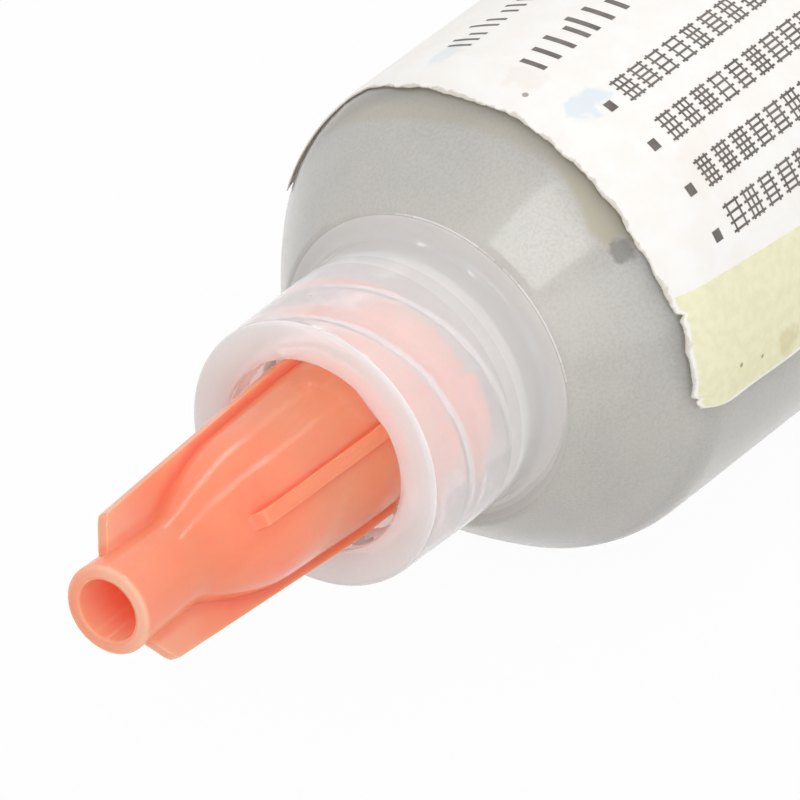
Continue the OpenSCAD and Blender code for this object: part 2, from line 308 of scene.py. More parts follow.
class Graph:
    """Adds nodes to a tree and joins them. Every input takes a value or an output socket."""

    def __init__(self, tree: bpy.types.NodeTree) -> None:
        """Takes the tree that the nodes go into."""
        self.tree = tree

    def feed(self, node: bpy.types.Node, inputs: Mapping[object, object]) -> bpy.types.Node:
        """Fills inputs of a node.

        Args:
            node: the node.
            inputs: a value or an output socket for each input, by name or number.

        Returns:
            The same node.
        """
        for key, value in inputs.items():
            if isinstance(value, Socket):
                self.tree.links.new(value, node.inputs[key])
            else:
                node.inputs[key].default_value = value
        return node

    def add(self, kind: str, inputs: Mapping[object, object] | None = None,
            **settings: object) -> bpy.types.Node:
        """Adds one node.

        Args:
            kind: type name of the node, without its ShaderNode prefix.
            inputs: what goes into its inputs.
            settings: properties of the node.

        Returns:
            The node.
        """
        node = self.tree.nodes.new("ShaderNode" + kind)
        for key, value in settings.items():
            setattr(node, key, value)
        return self.feed(node, inputs or {})

    def math(self, operation: str, a: object, b: object = 0.0, c: object = 0.0) -> Socket:
        """One sum, such as MULTIPLY_ADD."""
        return self.add("Math", {0: a, 1: b, 2: c}, operation=operation).outputs[0]

    def plus(self, a: object, b: object) -> Socket:
        """a + b."""
        return self.math("ADD", a, b)

    def minus(self, a: object, b: object) -> Socket:
        """a - b."""
        return self.math("SUBTRACT", a, b)

    def times(self, a: object, b: object) -> Socket:
        """a * b."""
        return self.math("MULTIPLY", a, b)

    def vector(self, operation: str, *operands: object) -> bpy.types.NodeOutputs:
        """One sum of vectors, with all its outputs."""
        return self.add("VectorMath", dict(enumerate(operands)), operation=operation).outputs

    def step(self, value: Socket, low: float, high: float) -> Socket:
        """Eases from 0 at low to 1 at high."""
        return self.add("MapRange", {"Value": value, "From Min": low, "From Max": high},
                        interpolation_type="SMOOTHSTEP").outputs["Result"]

    def noise(self, where: Socket, scale: object, detail: float) -> Socket:
        """Clouds of noise from 0 to 1."""
        return self.add("TexNoise", {"Vector": where, "Scale": scale, "Detail": detail}).outputs["Fac"]

    def mix(self, factor: object, a: object, b: object) -> Socket:
        """Blends colour a into colour b by the factor."""
        return self.add("Mix", {0: factor, 6: a, 7: b}, data_type="RGBA").outputs[2]

    def over(self, mask: Socket, amount: float, under: Socket, tint: Tint) -> Socket:
        """Lays a tint over a colour, by an amount, where the mask is."""
        return self.mix(self.times(mask, amount), under, light(tint))

    def attribute(self, name: str) -> Socket:
        """The value that the piece's mesh keeps under a name."""
        return self.add("Attribute", attribute_name=name).outputs["Fac"]

    def rays(self, first: str, *others: str) -> Socket:
        """1 for the rays of the named kinds, otherwise 0.

        Args:
            first: a kind of ray, such as Camera.
            others: more kinds.

        Returns:
            The largest of the Light Path values of these kinds.
        """
        path = self.add("LightPath").outputs
        found = path[f"Is {first} Ray"]
        for kind in others:
            found = self.math("MAXIMUM", found, path[f"Is {kind} Ray"])
        return found


Results = dict[str, Socket]


class EffectGraph(Graph):
    """The tree of a shared effect. Each method but the first works out what one effect puts out."""

    def __init__(self, tree: bpy.types.NodeTree) -> None:
        """Takes the effect's tree, whose input sockets are there already."""
        super().__init__(tree)
        self.given = tree.nodes.new("NodeGroupInput").outputs

    def skin(self) -> Results:
        """Fine grain over slow waves, as a moulding tool leaves it.

        Returns:
            The height and the roughness.
        """
        given = self.given
        fine = self.noise(given["Vector"], given["Grain"], detail=3.0)
        slow = self.noise(given["Vector"], given["Waves"], detail=2.0)
        rough = self.math("MULTIPLY_ADD", self.minus(slow, 0.5), given["Spread"], given["Roughness"])
        return {"Height": self.math("MULTIPLY_ADD", fine, 0.35, slow), "Roughness": rough}

    def drift(self) -> Results:
        """A colour that wanders between two tints in soft clouds.

        Returns:
            The colour.
        """
        given = self.given
        share = self.step(self.noise(given["Vector"], given["Scale"], detail=4.0), 0.3, 0.7)
        return {"Color": self.mix(self.times(share, given["Amount"]), given["Color"], given["Other"])}

    def specks(self) -> Results:
        """Small separate spots.

        Returns:
            A mask that is 1 inside a spot and 0 between the spots.
        """
        given = self.given
        cell = self.add("TexVoronoi", {"Vector": given["Vector"], "Scale": given["Scale"]}).outputs
        near = self.math("LESS_THAN", cell["Distance"], given["Size"])
        draw = self.add("SeparateColor", {0: cell["Color"]}).outputs[0]
        return {"Mask": self.times(near, self.math("LESS_THAN", draw, given["Share"]))}

    def scratches(self) -> Results:
        """Short thin rubs along the axis, in patches.

        Returns:
            A mask from 0 to 1.
        """
        given = self.given
        stretch = self.add("CombineXYZ", {0: given["Stretch"], 1: 1.0, 2: 1.0}).outputs[0]
        along = self.vector("MULTIPLY", given["Vector"], stretch)[0]
        lines = self.step(self.noise(along, given["Scale"], detail=2.0), 0.6, 0.68)
        patches = self.noise(given["Vector"], self.times(given["Scale"], 0.25), detail=2.0)
        return {"Mask": self.times(self.times(lines, self.step(patches, 0.5, 0.62)), given["Amount"])}

    def stain(self) -> Results:
        """One ragged spot, by the distance |(vector - centre) * stretch| / radius and noise.

        Returns:
            A mask that is 1 inside the spot and fades at its rim.
        """
        given = self.given
        offset = self.vector("SUBTRACT", given["Vector"], given["Centre"])[0]
        length = self.vector("LENGTH", self.vector("MULTIPLY", offset, given["Stretch"])[0])["Value"]
        swing = self.minus(self.noise(given["Vector"], given["Grain"], detail=3.0), 0.5)
        reach = self.plus(self.math("DIVIDE", length, given["Radius"]), self.times(swing, given["Ragged"]))
        return {"Mask": self.minus(1.0, self.step(reach, 0.55, 1.0))}


class Effect(Enum):
    """Surface effects that several finishes share, each one a node group."""

    SKIN = "moulded skin"
    DRIFT = "tint drift"
    SPECKS = "specks"
    SCRATCHES = "scratches"
    STAIN = "stain"

    def group(self) -> bpy.types.NodeTree:
        """The node group of this effect, built the first time it is asked for.

        The type of an input follows from its default: one number, a vector or a colour.

        Returns:
            The shader node group.
        """
        tree = bpy.data.node_groups.get(self.value)
        if tree:
            return tree
        make, defaults = RECIPES[self]
        tree = bpy.data.node_groups.new(self.value, "ShaderNodeTree")
        for name, default in ({"Vector": (0.0, 0.0, 0.0)} | defaults).items():
            kind = "NodeSocket" + {1: "Float", 3: "Vector", 4: "Color"}[np.size(default)]
            tree.interface.new_socket(name, in_out="INPUT", socket_type=kind).default_value = default
        graph = EffectGraph(tree)
        results = make(graph)
        for name in results:
            kind = "NodeSocketColor" if name == "Color" else "NodeSocketFloat"
            tree.interface.new_socket(name, in_out="OUTPUT", socket_type=kind)
        graph.feed(tree.nodes.new("NodeGroupOutput"), results)
        return tree


RECIPES: dict[Effect, tuple[Callable[[EffectGraph], Results], dict[str, object]]] = {
    Effect.SKIN: (EffectGraph.skin, {"Grain": 9000.0, "Waves": 400.0, "Roughness": 0.4, "Spread": 0.1}),
    Effect.DRIFT: (EffectGraph.drift, {"Color": (0.8, 0.8, 0.8, 1.0), "Other": (0.6, 0.6, 0.6, 1.0),
                                       "Scale": 200.0, "Amount": 1.0}),
    Effect.SPECKS: (EffectGraph.specks, {"Scale": 2000.0, "Size": 0.2, "Share": 0.3}),
    Effect.SCRATCHES: (EffectGraph.scratches, {"Scale": 1000.0, "Stretch": 0.12, "Amount": 0.5}),
    Effect.STAIN: (EffectGraph.stain, {"Centre": (0.0, 0.0, 0.0), "Stretch": (1.0, 1.0, 1.0),
                                       "Radius": 0.0005, "Ragged": 1.0, "Grain": 2500.0})}


class Surface(Graph):
    """A material being made: the nodes round its one Principled shader."""

    def __init__(self, name: str) -> None:
        """Starts the material with its shader and the object coordinates.

        Args:
            name: name of the material.
        """
        self.material = bpy.data.materials.new(name)
        super().__init__(emptied(self.material))
        self.shader = self.add("BsdfPrincipled")
        self.add("OutputMaterial", {"Surface": self.shader.outputs["BSDF"]})
        self.where = self.add("TexCoord").outputs["Object"]

    def effect(self, effect: Effect, **inputs: object) -> bpy.types.NodeOutputs:
        """Places one shared effect in the material with its own values."""
        return self.add("Group", {"Vector": self.where, **inputs}, node_tree=effect.group()).outputs

    def drift(self, tint: Tint, other: Tint, scale: float, amount: float) -> Socket:
        """A colour that wanders between two tints."""
        return self.effect(Effect.DRIFT, Color=light(tint), Other=light(other),
                           Scale=scale, Amount=amount)["Color"]

    def specks(self, scale: float, size: float, share: float) -> Socket:
        """A mask of small spots."""
        return self.effect(Effect.SPECKS, Scale=scale, Size=size, Share=share)["Mask"]

    def rubs(self, scale: float, amount: float) -> Socket:
        """A mask of short rubs along the axis."""
        return self.effect(Effect.SCRATCHES, Scale=scale, Amount=amount)["Mask"]

    def bump(self, height: Socket, distance: float, strength: float) -> None:
        """Feeds a height to the shader's normal through a Bump node."""
        node = self.add("Bump", {"Height": height, "Distance": distance, "Strength": strength})
        self.feed(self.shader, {"Normal": node.outputs["Normal"]})

    def moulded(self, grain: float, waves: float, roughness: float, spread: float,
                depth: float, strength: float) -> Socket:
        """Lays a moulded skin over the surface.

        Args:
            grain: scale of the fine grain.
            waves: scale of the slow waves.
            roughness: middle of the roughness.
            spread: how far the roughness strays.
            depth: height of the skin in metres.
            strength: strength of its bump.

        Returns:
            The roughness of the skin.
        """
        parts = self.effect(Effect.SKIN, Grain=grain, Waves=waves, Roughness=roughness, Spread=spread)
        self.bump(parts["Height"], depth, strength)
        return parts["Roughness"]

    def done(self, inputs: Mapping[str, object]) -> bpy.types.Material:
        """Fills the shader's inputs and gives the finished material."""
        self.feed(self.shader, inputs)
        return self.material


# Finishes

@dataclass(frozen=True)
class Finish:
    """A finish with the name of its material."""

    name: str

    def material(self) -> bpy.types.Material:
        """The finished material."""
        raise NotImplementedError


@dataclass(frozen=True)
class MilkyPlastic(Finish):
    """Translucent polypropylene of the barrel: milky, half clear, with a soft gloss."""

    tint: Tint = (254, 252, 251)
    shade: Tint = (251, 248, 247)
    clear: float = 0.64
    roughness: float = 0.12
    depth: float = 0.0012
    let_in: float = 0.8
    flux_and_shade: Tint = (234, 228, 210)
    grain: float = 0.05
    spot: Triple = (-0.0530455, -0.0061291, 0.0148347)

    def colour(self, surface: Surface) -> Socket:
        """White that drifts, under its grain, the film of flux darkened by painted shade, one spot and a few
        specks.

        Args:
            surface: the material being made.

        Returns:
            The colour.
        """
        white = surface.drift(self.tint, self.shade, scale=260.0, amount=0.7)
        grain = surface.step(surface.noise(surface.where, scale=9000.0, detail=3.0), 0.35, 0.75)
        grainy = surface.over(grain, self.grain, white, (205, 200, 194))
        # The film's olive tint is partly flux on the wall and partly painted shade and dark reflection below
        # the label's edge.
        flux_shaded = surface.mix(surface.attribute("flux_and_shade"), grainy, light(self.flux_and_shade))
        spot = surface.effect(Effect.STAIN, Centre=self.spot, Radius=0.0006, Ragged=1.0)["Mask"]
        spotted = surface.over(spot, 0.65, flux_shaded, (146, 149, 144))
        return surface.over(surface.specks(scale=900.0, size=0.05, share=0.1), 0.6, spotted, (150, 140, 132))

    def material(self) -> bpy.types.Material:
        """Makes the material, whose Alpha lets a share of the light into the wall.

        Returns:
            The finished material.
        """
        surface = Surface(self.name)
        skin_rough = surface.moulded(grain=7000.0, waves=350.0, roughness=self.roughness, spread=0.08,
                                     depth=0.00001, strength=0.35)
        rough = surface.plus(skin_rough, surface.rubs(scale=2500.0, amount=0.04))
        passing = surface.rays("Shadow", "Diffuse")
        return surface.done({
            "Base Color": self.colour(surface),
            "Roughness": surface.math("MULTIPLY_ADD", surface.attribute("haze"), 0.09, rough),
            "Alpha": surface.math("MULTIPLY_ADD", passing, -self.let_in, 1.0),
            "IOR": 1.46,
            "Transmission Weight": self.clear,
            "Subsurface Weight": 1.0,
            "Subsurface Radius": (1.0, 0.97, 0.95),
            "Subsurface Scale": self.depth})


@dataclass(frozen=True)
class GreyPaste(Finish):
    """Solder paste: fine metal powder in flux, grey with a satin glint."""

    tint: Tint = (184, 179, 164)
    shade: Tint = (164, 160, 146)
    hollow: Tint = (132, 128, 118)
    glint: Tint = (214, 213, 208)

    def material(self) -> bpy.types.Material:
        """Makes the material.

        Returns:
            The finished material.
        """
        surface = Surface(self.name)
        grey = surface.drift(self.tint, self.shade, scale=420.0, amount=0.8)
        hollows = surface.step(surface.noise(surface.where, scale=9000.0, detail=2.0), 0.5, 0.75)
        grainy = surface.over(hollows, 0.55, grey, self.hollow)
        glints = surface.specks(scale=1500.0, size=0.16, share=0.2)
        return surface.done({
            "Base Color": surface.over(glints, 0.35, grainy, self.glint),
            "Roughness": surface.moulded(grain=6000.0, waves=700.0, roughness=0.42, spread=0.3,
                                         depth=0.00004, strength=0.5),
            "Metallic": 0.15})


@dataclass(frozen=True)
class OrangePlastic(Finish):
    """Soft orange polyethylene of the tip cap: light goes a little way into it."""

    tint: Tint = (255, 144, 108)
    shade: Tint = (255, 128, 92)
    painted_shade_tint: Tint = (224, 62, 32)
    painted_light: Tint = (255, 212, 192)
    rubbed: Tint = (238, 168, 150)
    let_in: float = 0.75

    def material(self) -> bpy.types.Material:
        """Makes the material, whose Alpha lets light through where the wall is thin.

        Returns:
            The finished material.
        """
        surface = Surface(self.name)
        orange = surface.drift(self.tint, self.shade, scale=350.0, amount=0.6)
        # Painted shade: a deeper orange in the corners at the blades' feet and deeper into the hole.
        shaded_orange = surface.over(surface.attribute("painted_shade"), 0.36, orange, self.painted_shade_tint)
        # Painted light: paler orange on the lit rim, the stub, the blades' front parts and the hole's mouth.
        lit = surface.over(surface.attribute("painted_light"), 0.6, shaded_orange, self.painted_light)
        rubs = surface.rubs(scale=6000.0, amount=0.14)
        passing = surface.times(surface.attribute("thin"), surface.rays("Shadow", "Diffuse"))
        return surface.done({
            "Base Color": surface.mix(rubs, lit, light(self.rubbed)),
            "Roughness": surface.moulded(grain=8000.0, waves=500.0, roughness=0.15, spread=0.16,
                                         depth=0.000025, strength=0.6),
            "Alpha": surface.plus(surface.times(passing, -self.let_in), 1.0),
            "IOR": 1.5,
            "Subsurface Weight": 0.9,
            "Subsurface Radius": (1.0, 0.26, 0.13),
            "Subsurface Scale": 0.0026})


@dataclass(frozen=True)
class WhitePlastic(Finish):
    """White moulded plastic of the piston and the plunger rod."""

    tint: Tint = (238, 238, 234)
    shade: Tint = (230, 229, 224)
    rubbed: Tint = (205, 203, 198)
    roughness: float = 0.42

    def material(self) -> bpy.types.Material:
        """Makes the material.

        Returns:
            The finished material.
        """
        surface = Surface(self.name)
        white = surface.drift(self.tint, self.shade, scale=180.0, amount=0.8)
        rubs = surface.rubs(scale=900.0, amount=0.2)
        return surface.done({
            "Base Color": surface.mix(rubs, white, light(self.rubbed)),
            "Roughness": surface.moulded(grain=6000.0, waves=300.0, roughness=self.roughness, spread=0.15,
                                         depth=0.00002, strength=0.5),
            "Subsurface Weight": 0.1,
            "Subsurface Scale": 0.0008})


@dataclass(frozen=True)
class Smudge:
    """A faint mark on the paper: where it is, its size and stretch, its strength and its colour."""

    station: float
    turn: float
    radius: float
    stretch: Triple
    amount: float
    tint: Tint


ROUND = (1.0, 1.0, 1.0)


@dataclass(frozen=True)
class LabelPaper(Finish):
    """White paper with a cream band along its lower side, and a worn front edge."""

    paper: tuple[Tint, Tint] = ((243, 241, 238), (240, 236, 230))
    band: tuple[Tint, Tint] = ((236, 233, 200), (226, 224, 186))
    brown: Tint = (120, 100, 70)
    worn: Tint = (186, 176, 158)
    band_start: float = 64.6
    band_slant: float = 0.45
    band_slant_start: float = 10.2
    band_slant_length: float = 9.0
    band_margin: float = 0.7
    paper_radius: float = 9.32
    smudges: tuple[Smudge, ...] = (
        Smudge(12.65, 17.9, 1.1, (0.8, 1.6, 1.0), 0.3, (150, 196, 226)),
        Smudge(13.2, -20.9, 1.0, (0.7, 1.6, 1.0), 0.22, (160, 202, 230)),
        Smudge(12.5, 3.0, 0.9, ROUND, 0.2, (222, 200, 180)),
        Smudge(11.6, 6.8, 0.13, ROUND, 0.7, (120, 96, 84)),
        Smudge(14.6, 45.0, 1.6, ROUND, 0.14, (226, 210, 190)))
    drips: tuple[Smudge, ...] = (
        Smudge(16.0, 90.3, 0.7, ROUND, 0.3, (196, 160, 108)),
        Smudge(12.9, 87.7, 0.12, ROUND, 0.7, (130, 104, 70)),
        Smudge(14.25, 89.5, 0.14, ROUND, 0.7, (130, 104, 70)))

    def smudged(self, surface: Surface, marks: Sequence[Smudge], colour: Socket) -> Socket:
        """Lays the marks over a colour, one by one.

        Args:
            surface: the material being made.
            marks: the marks.
            colour: colour under them.

        Returns:
            The marked colour.
        """
        for mark in marks:
            centre = tuple(place(mark.station, self.paper_radius, mark.turn).tolist())
            spot = surface.effect(Effect.STAIN, Centre=centre, Stretch=mark.stretch,
                                  Radius=mark.radius * MM, Ragged=1.6, Grain=1500.0)["Mask"]
            colour = surface.over(spot, mark.amount, colour, mark.tint)
        return colour

    def band_mask(self, surface: Surface, wobble: Socket, edge: Socket) -> Socket:
        """Where the cream band lies: below a slanting line, and clear of the paper's edges.

        The UV map holds station / 100 and turn / 100. The line's turn grows by the slant for each
        millimetre behind the slant's start, over its length.

        Args:
            surface: the material being made.
            wobble: small swing of the band's edges.
            edge: distance behind the front edge, in millimetres.

        Returns:
            The mask, from 0 to 1.
        """
        wrap = surface.add("SeparateXYZ", {0: surface.add("UVMap", uv_map="wrap").outputs["UV"]}).outputs
        station, turn = surface.times(wrap["X"], 100.0), surface.times(wrap["Y"], 100.0)
        behind = surface.minus(station, self.band_slant_start)
        slope = surface.times(surface.math("MINIMUM", behind, self.band_slant_length), self.band_slant)
        below = surface.minus(surface.plus(turn, wobble), slope)
        inside = surface.plus(surface.attribute("border"), wobble)
        start = surface.step(below, self.band_start - 0.15, self.band_start + 0.15)
        end = surface.step(inside, self.band_margin, self.band_margin + 0.25)
        front = surface.step(surface.math("MULTIPLY_ADD", wobble, 0.3, edge), 0.14, 0.22)
        return surface.times(surface.times(start, end), front)

    def material(self) -> bpy.types.Material:
        """Makes the material.

        Returns:
            The finished material.
        """
        surface = Surface(self.name)
        edge = surface.attribute("edge")
        fibres = surface.noise(surface.where, scale=5000.0, detail=4.0)
        wobble = surface.times(surface.minus(fibres, 0.5), 0.5)
        paper = self.smudged(surface, self.smudges, surface.drift(*self.paper, scale=900.0, amount=0.8))
        band = surface.drift(*self.band, scale=2600.0, amount=0.8)
        printed = surface.mix(self.band_mask(surface, wobble, edge), paper, band)
        specked = surface.over(surface.specks(scale=260.0, size=0.07, share=0.25), 0.6, printed, self.brown)
        marked = self.smudged(surface, self.drips, specked)
        dirt = surface.noise(surface.where, scale=1600.0, detail=5.0)
        reach = surface.math("MULTIPLY_ADD", dirt, 0.5, -0.22)
        wear = surface.minus(1.0, surface.step(surface.minus(edge, reach), 0.0, 0.08))
        surface.bump(surface.math("MULTIPLY_ADD", wear, 0.6, fibres), distance=0.00002, strength=0.6)
        return surface.done({
            "Base Color": surface.over(wear, 0.6, marked, self.worn),
            "Roughness": 0.62})


@dataclass(frozen=True)
class PrintInk(Finish):
    """Dark grey print, a little uneven where the paper took less of it."""

    tint: Tint = (92, 85, 80)
    shade: Tint = (122, 115, 108)

    def material(self) -> bpy.types.Material:
        """Makes the material.

        Returns:
            The finished material.
        """
        surface = Surface(self.name)
        ink = surface.drift(self.tint, self.shade, scale=1500.0, amount=0.8)
        return surface.done({"Base Color": ink, "Roughness": 0.55})


# Pieces

class Wall(IntEnum):
    """The barrel's finishes, numbered as its material slots are; the milkier ones also lay painted highlights
    and light, the clearer ones painted shade.
    """

    SHELL = 0
    SIDE = 1
    BORE = 2
    THICK = 3
    DENSER_AND_PAINTED_LIGHT = 4
    DENSEST_AND_PAINTED_LIGHT = 5


@dataclass
class Barrel:
    """The translucent moulding: collar with its thread, spout, shoulder, tube and flange."""

    tube_radius: float = 9.2
    bore_radius: float = 8.0
    tube_start: float = 12.421
    tube_end: float = 88.021
    flange_radius: float = 13.2
    flange_flat: float = 9.6
    flange_thickness: float = 2.0
    collar_depth: float = 6.6
    spout_tip: float = -2.1
    spout_bore: float = 1.2
    cavity_start: float = 7.8
    thread_root: float = 4.03
    thread_crest: float = 3.55
    lip_radius: float = 3.62
    thread_lead: float = 5.0
    thread_half_width: float = 0.55
    thread_station: float = 2.5
    thread_turn: float = 43.0
    thread_end: float = 6.3
    thread_fade: float = 0.6
    screw_radii: tuple[float, float] = (3.5, 4.1)
    screw_blend: float = 0.05
    highlight_ridge: float = 0.72
    fine_start: float = 6.85
    fine_end: float = 7.22
    bore_stations: tuple[float, float] = (0.3, 6.7)
    bore_radii: tuple[float, float] = (3.4, 4.2)
    mouth_end: float = 0.33
    mouth_radius: float = 3.0
    thick_end: float = 0.1
    denser_start: float = 4.5
    densest_start: float = 5.1
    neck: tuple[float, float] = (6.9, 7.35)
    neck_rim: float = 5.95
    neck_face: float = 5.9
    rim_radii: tuple[float, float] = (5.93, 5.99)
    painted_highlights: tuple[tuple[float, float], ...] = ((-14.0, 27.0), (30.0, 76.0))
    shade_belt_turns: tuple[float, ...] = (74.0, 125.0, 200.0, 240.0)
    shade_belt_shares: tuple[float, ...] = (0.0, 1.0, 1.0, 0.0)
    haze_turns: tuple[float, float] = (66.0, 300.0)
    haze_fade: float = 30.0
    haze_radius: float = 6.0
    flux_shade_turns: tuple[float, ...] = (-70, -40, -23, -7, 16, 23, 33, 41, 45, 48, 54)
    flux_shade_stations: tuple[float, ...] = (11.4, 10.35, 9.95, 9.9, 10.0, 10.1, 9.75, 9.35, 9.55, 10.5, 12.4)
    flux_shade_fade: float = 0.3
    flux_shade_growth_start: float = 16.0
    flux_shade_growth: float = 14.0
    columns: int = 192

    def outline(self) -> np.ndarray:
        """Closed outline: outside to the back, inside to the spout, then the collar's bore.

        The neck's rows lie three times as close, because its belts taper across them.

        Returns:
            Rows of station and radius.
        """
        end, seat = self.tube_end, self.tube_end - self.flange_thickness
        corners = [
            (0.0, 5.07, 0.22, 0.3),
            (7.0, 5.2, 0.52, 0.3),
            (7.06, 6.04, 0.3, 0.2),
            (9.395, 7.814, 2.0, 0.2),
            (11.727, self.tube_radius, 0.694, 5.0),
            (seat, self.tube_radius, 0.4, 0.5),
            (seat, self.flange_radius, 0.5, 0.5),
            (end, self.flange_radius, 0.5, 0.5),
            (end, self.bore_radius + 0.4, 0.05, 0.5),
            (end - 0.4, self.bore_radius, 0.1, 5.0),
            (12.106, self.bore_radius, 0.315, 0.5),
            (self.cavity_start, 4.985, 0.3, 0.5),
            (self.cavity_start, self.spout_bore, 0.15, 1.0),
            (self.spout_tip, self.spout_bore, 0.08, 0.3),
            (self.spout_tip, 1.97, 0.18, 0.7),
            (self.collar_depth, 2.231, 0.25, 0.5),
            (self.collar_depth, self.thread_root, 0.3, 0.1),
            (0.75, self.thread_root, 0.15, 0.1),
            (0.32, self.lip_radius, 0.12, 0.1),
            (0.0, self.lip_radius, 0.1, 0.3)]
        coarse, fine = (rounded_outline(corners, closed=True, steps=steps) for steps in (9, 27))
        first, fine_first = (np.argmax(rows[:, 0] > self.fine_start) for rows in (coarse, fine))
        last, fine_last = (np.argmax(rows[:, 0] > self.fine_end) for rows in (coarse, fine))
        return np.vstack([coarse[:first], fine[fine_first:fine_last], coarse[last:]])

    def thread(self, station: np.ndarray, turn: np.ndarray) -> np.ndarray:
        """How far the thread's ridge rises.

        The two starts follow station = 2.5 + lead * (turn - 43) / 360, half a lead apart, and the
        ridge is (1 + cos(pi * d / half width)) / 2 at the distance d along the axis.

        Args:
            station: stations in millimetres.
            turn: turns in degrees.

        Returns:
            Heights from 0 at the thread's root to 1 at its crest.
        """
        pitch = self.thread_lead / 2.0
        offset = station - self.thread_station - self.thread_lead * (turn - self.thread_turn) / 360.0
        distance = np.abs((offset + pitch / 2.0) % pitch - pitch / 2.0) / self.thread_half_width
        ridge = 0.5 * (1.0 + np.cos(np.pi * np.clip(distance, 0.0, 1.0)))
        return ridge * smooth_step((self.thread_end - station) / self.thread_fade)

    def zones(self, outline: np.ndarray, turns: np.ndarray) -> np.ndarray:
        """Which finish each face takes.

        The rows give the first choice, the milkier finishes near the neck partly as painted light.
        Over it come the thread's crests as painted highlights, then painted highlights at the neck's
        rim, each inside the last, then two belts of painted shade on the neck's shaded side, from the
        radius rim - depth * share out to the neck's face.

        Args:
            outline: the barrel's outline.
            turns: the grid's turns.

        Returns:
            A number of Wall for each row and column.
        """
        station, radius = outline[:, :1], outline[:, 1:]
        _, inside = halves(outline)
        bore = inside & between(station, *self.bore_stations) & between(radius, *self.bore_radii)
        mouth = inside & (station < self.mouth_end) & (radius > self.mouth_radius)
        collar = np.arange(len(outline))[:, None] < np.argmax(outline[:, 0] > self.neck[1])
        choices = [(bore, Wall.BORE),
                   (mouth, Wall.THICK),
                   (collar & (radius > self.neck_face), Wall.SHELL),
                   # The milkier finishes towards the neck are partly thicker wall and partly painted light
                   # where the lamp's patch reaches the neck.
                   (collar & (station > self.densest_start), Wall.DENSEST_AND_PAINTED_LIGHT),
                   (collar & (station > self.denser_start), Wall.DENSER_AND_PAINTED_LIGHT),
                   (collar & (station < self.thick_end), Wall.THICK),
                   (collar, Wall.SIDE)]
        zones = np.select([where for where, _ in choices], [int(wall) for _, wall in choices], Wall.SHELL)
        # Painted highlight: the thread's crests take the milkiest finish, so they show as white lines.
        ridges = self.thread(station + 0.05, turns[None, :] + 180.0 / self.columns)
        zones = np.where((zones == Wall.BORE) & (ridges > self.highlight_ridge), Wall.THICK, zones)
        neck = between(station, *self.neck)
        rim = neck & between(radius, *self.rim_radii)
        around = turn_away(turns, 0.0)[None, :]
        # Painted highlights: milkier finishes laid on the neck's rim over bands of turns, the milkiest in the
        # middle.
        for inset, wall in ((0.0, Wall.DENSER_AND_PAINTED_LIGHT), (4.0, Wall.DENSEST_AND_PAINTED_LIGHT), (8.0, Wall.THICK)):
            for low, high in self.painted_highlights:
                zones = np.where(rim & between(around, low + inset, high - inset), wall, zones)
        # Painted shade: clearer finishes laid on the neck's shaded side.
        share = np.interp(turns, self.shade_belt_turns, self.shade_belt_shares)[None, :]
        for wall, depth in ((Wall.DENSER_AND_PAINTED_LIGHT, 0.55), (Wall.SIDE, 0.35)):
            shade_belt = neck & between(radius, self.neck_rim - depth * share, self.neck_face)
            zones = np.where(shade_belt, wall, zones)
        return zones

    def flux_and_shade(self, station: np.ndarray, turn: np.ndarray) -> np.ndarray:
        """Where flux clings to the inside of the shoulder, with painted shade and dark reflection below the
        label's edge.

        It lies behind a measured line, at 0.55 of its strength above and in full past turn 30.

        Args:
            station: stations in millimetres.
            turn: turns in degrees, from -180 to 180.

        Returns:
            Strengths from 0 to 1.
        """
        line = np.interp(turn, self.flux_shade_turns, self.flux_shade_stations)
        strength = 0.55 + 0.45 * smooth_step((turn - self.flux_shade_growth_start) / self.flux_shade_growth)
        return strength * smooth_step((station - line) / self.flux_shade_fade) * (station < self.tube_start)

    def marks(self, outline: np.ndarray, turns: np.ndarray) -> dict[str, np.ndarray]:
        """The film of flux with its painted shade, and the haze of the tube's lower side, which fades at both
        its ends.

        Args:
            outline: the barrel's outline.
            turns: the grid's turns.

        Returns:
            Both attributes.
        """
        outer, _ = halves(outline)
        flux_and_shade = self.flux_and_shade(outline[:, :1], turn_away(turns, 0.0)[None, :])
        low, high = self.haze_turns
        haze = smooth_step((turns - low) / self.haze_fade) * smooth_step((high - turns) / self.haze_fade)
        return {"flux_and_shade": np.where(outer, flux_and_shade, 0.0),
                "haze": np.where(outer & (outline[:, 1:] > self.haze_radius), haze[None, :], 0.0)}

    def build(self, finishes: Sequence[Finish]) -> Piece:
        """Builds the barrel and sets it in place of its plain solid.

        Inside the collar the radius is the smaller of the outline's and root - (root - crest) *
        ridge; on the flange it is no more than flat / |cos(turn)|.

        Args:
            finishes: a finish for each member of Wall.

        Returns:
            The barrel.
        """
        outline = self.outline()
        turns = even_turns(self.columns)
        station, radius = outline[:, :1], outline[:, 1:]
        _, inside = halves(outline)
        bore = inside & between(radius, *self.screw_radii) & (station < self.collar_depth)
        ridge = self.thread(station, turns[None, :])
        screw = self.thread_root - (self.thread_root - self.thread_crest) * ridge
        radius = np.where(bore, soft_min(radius, screw, self.screw_blend), radius)
        limit = self.flange_flat / np.maximum(np.abs(np.cos(np.radians(turns))), 1e-6)[None, :]
        radius = np.where(radius > self.flange_flat, np.minimum(radius, limit), radius)
        piece = solid("barrel_moulding", place(station, radius, turns[None, :]),
                      lattice(len(outline), self.columns, True, True),
                      marks=self.marks(outline, turns), zones=self.zones(outline, turns))
        for finish in finishes:
            piece.data.materials.append(finish.material())
        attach(piece, "barrel")
        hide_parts("barrel")
        return piece


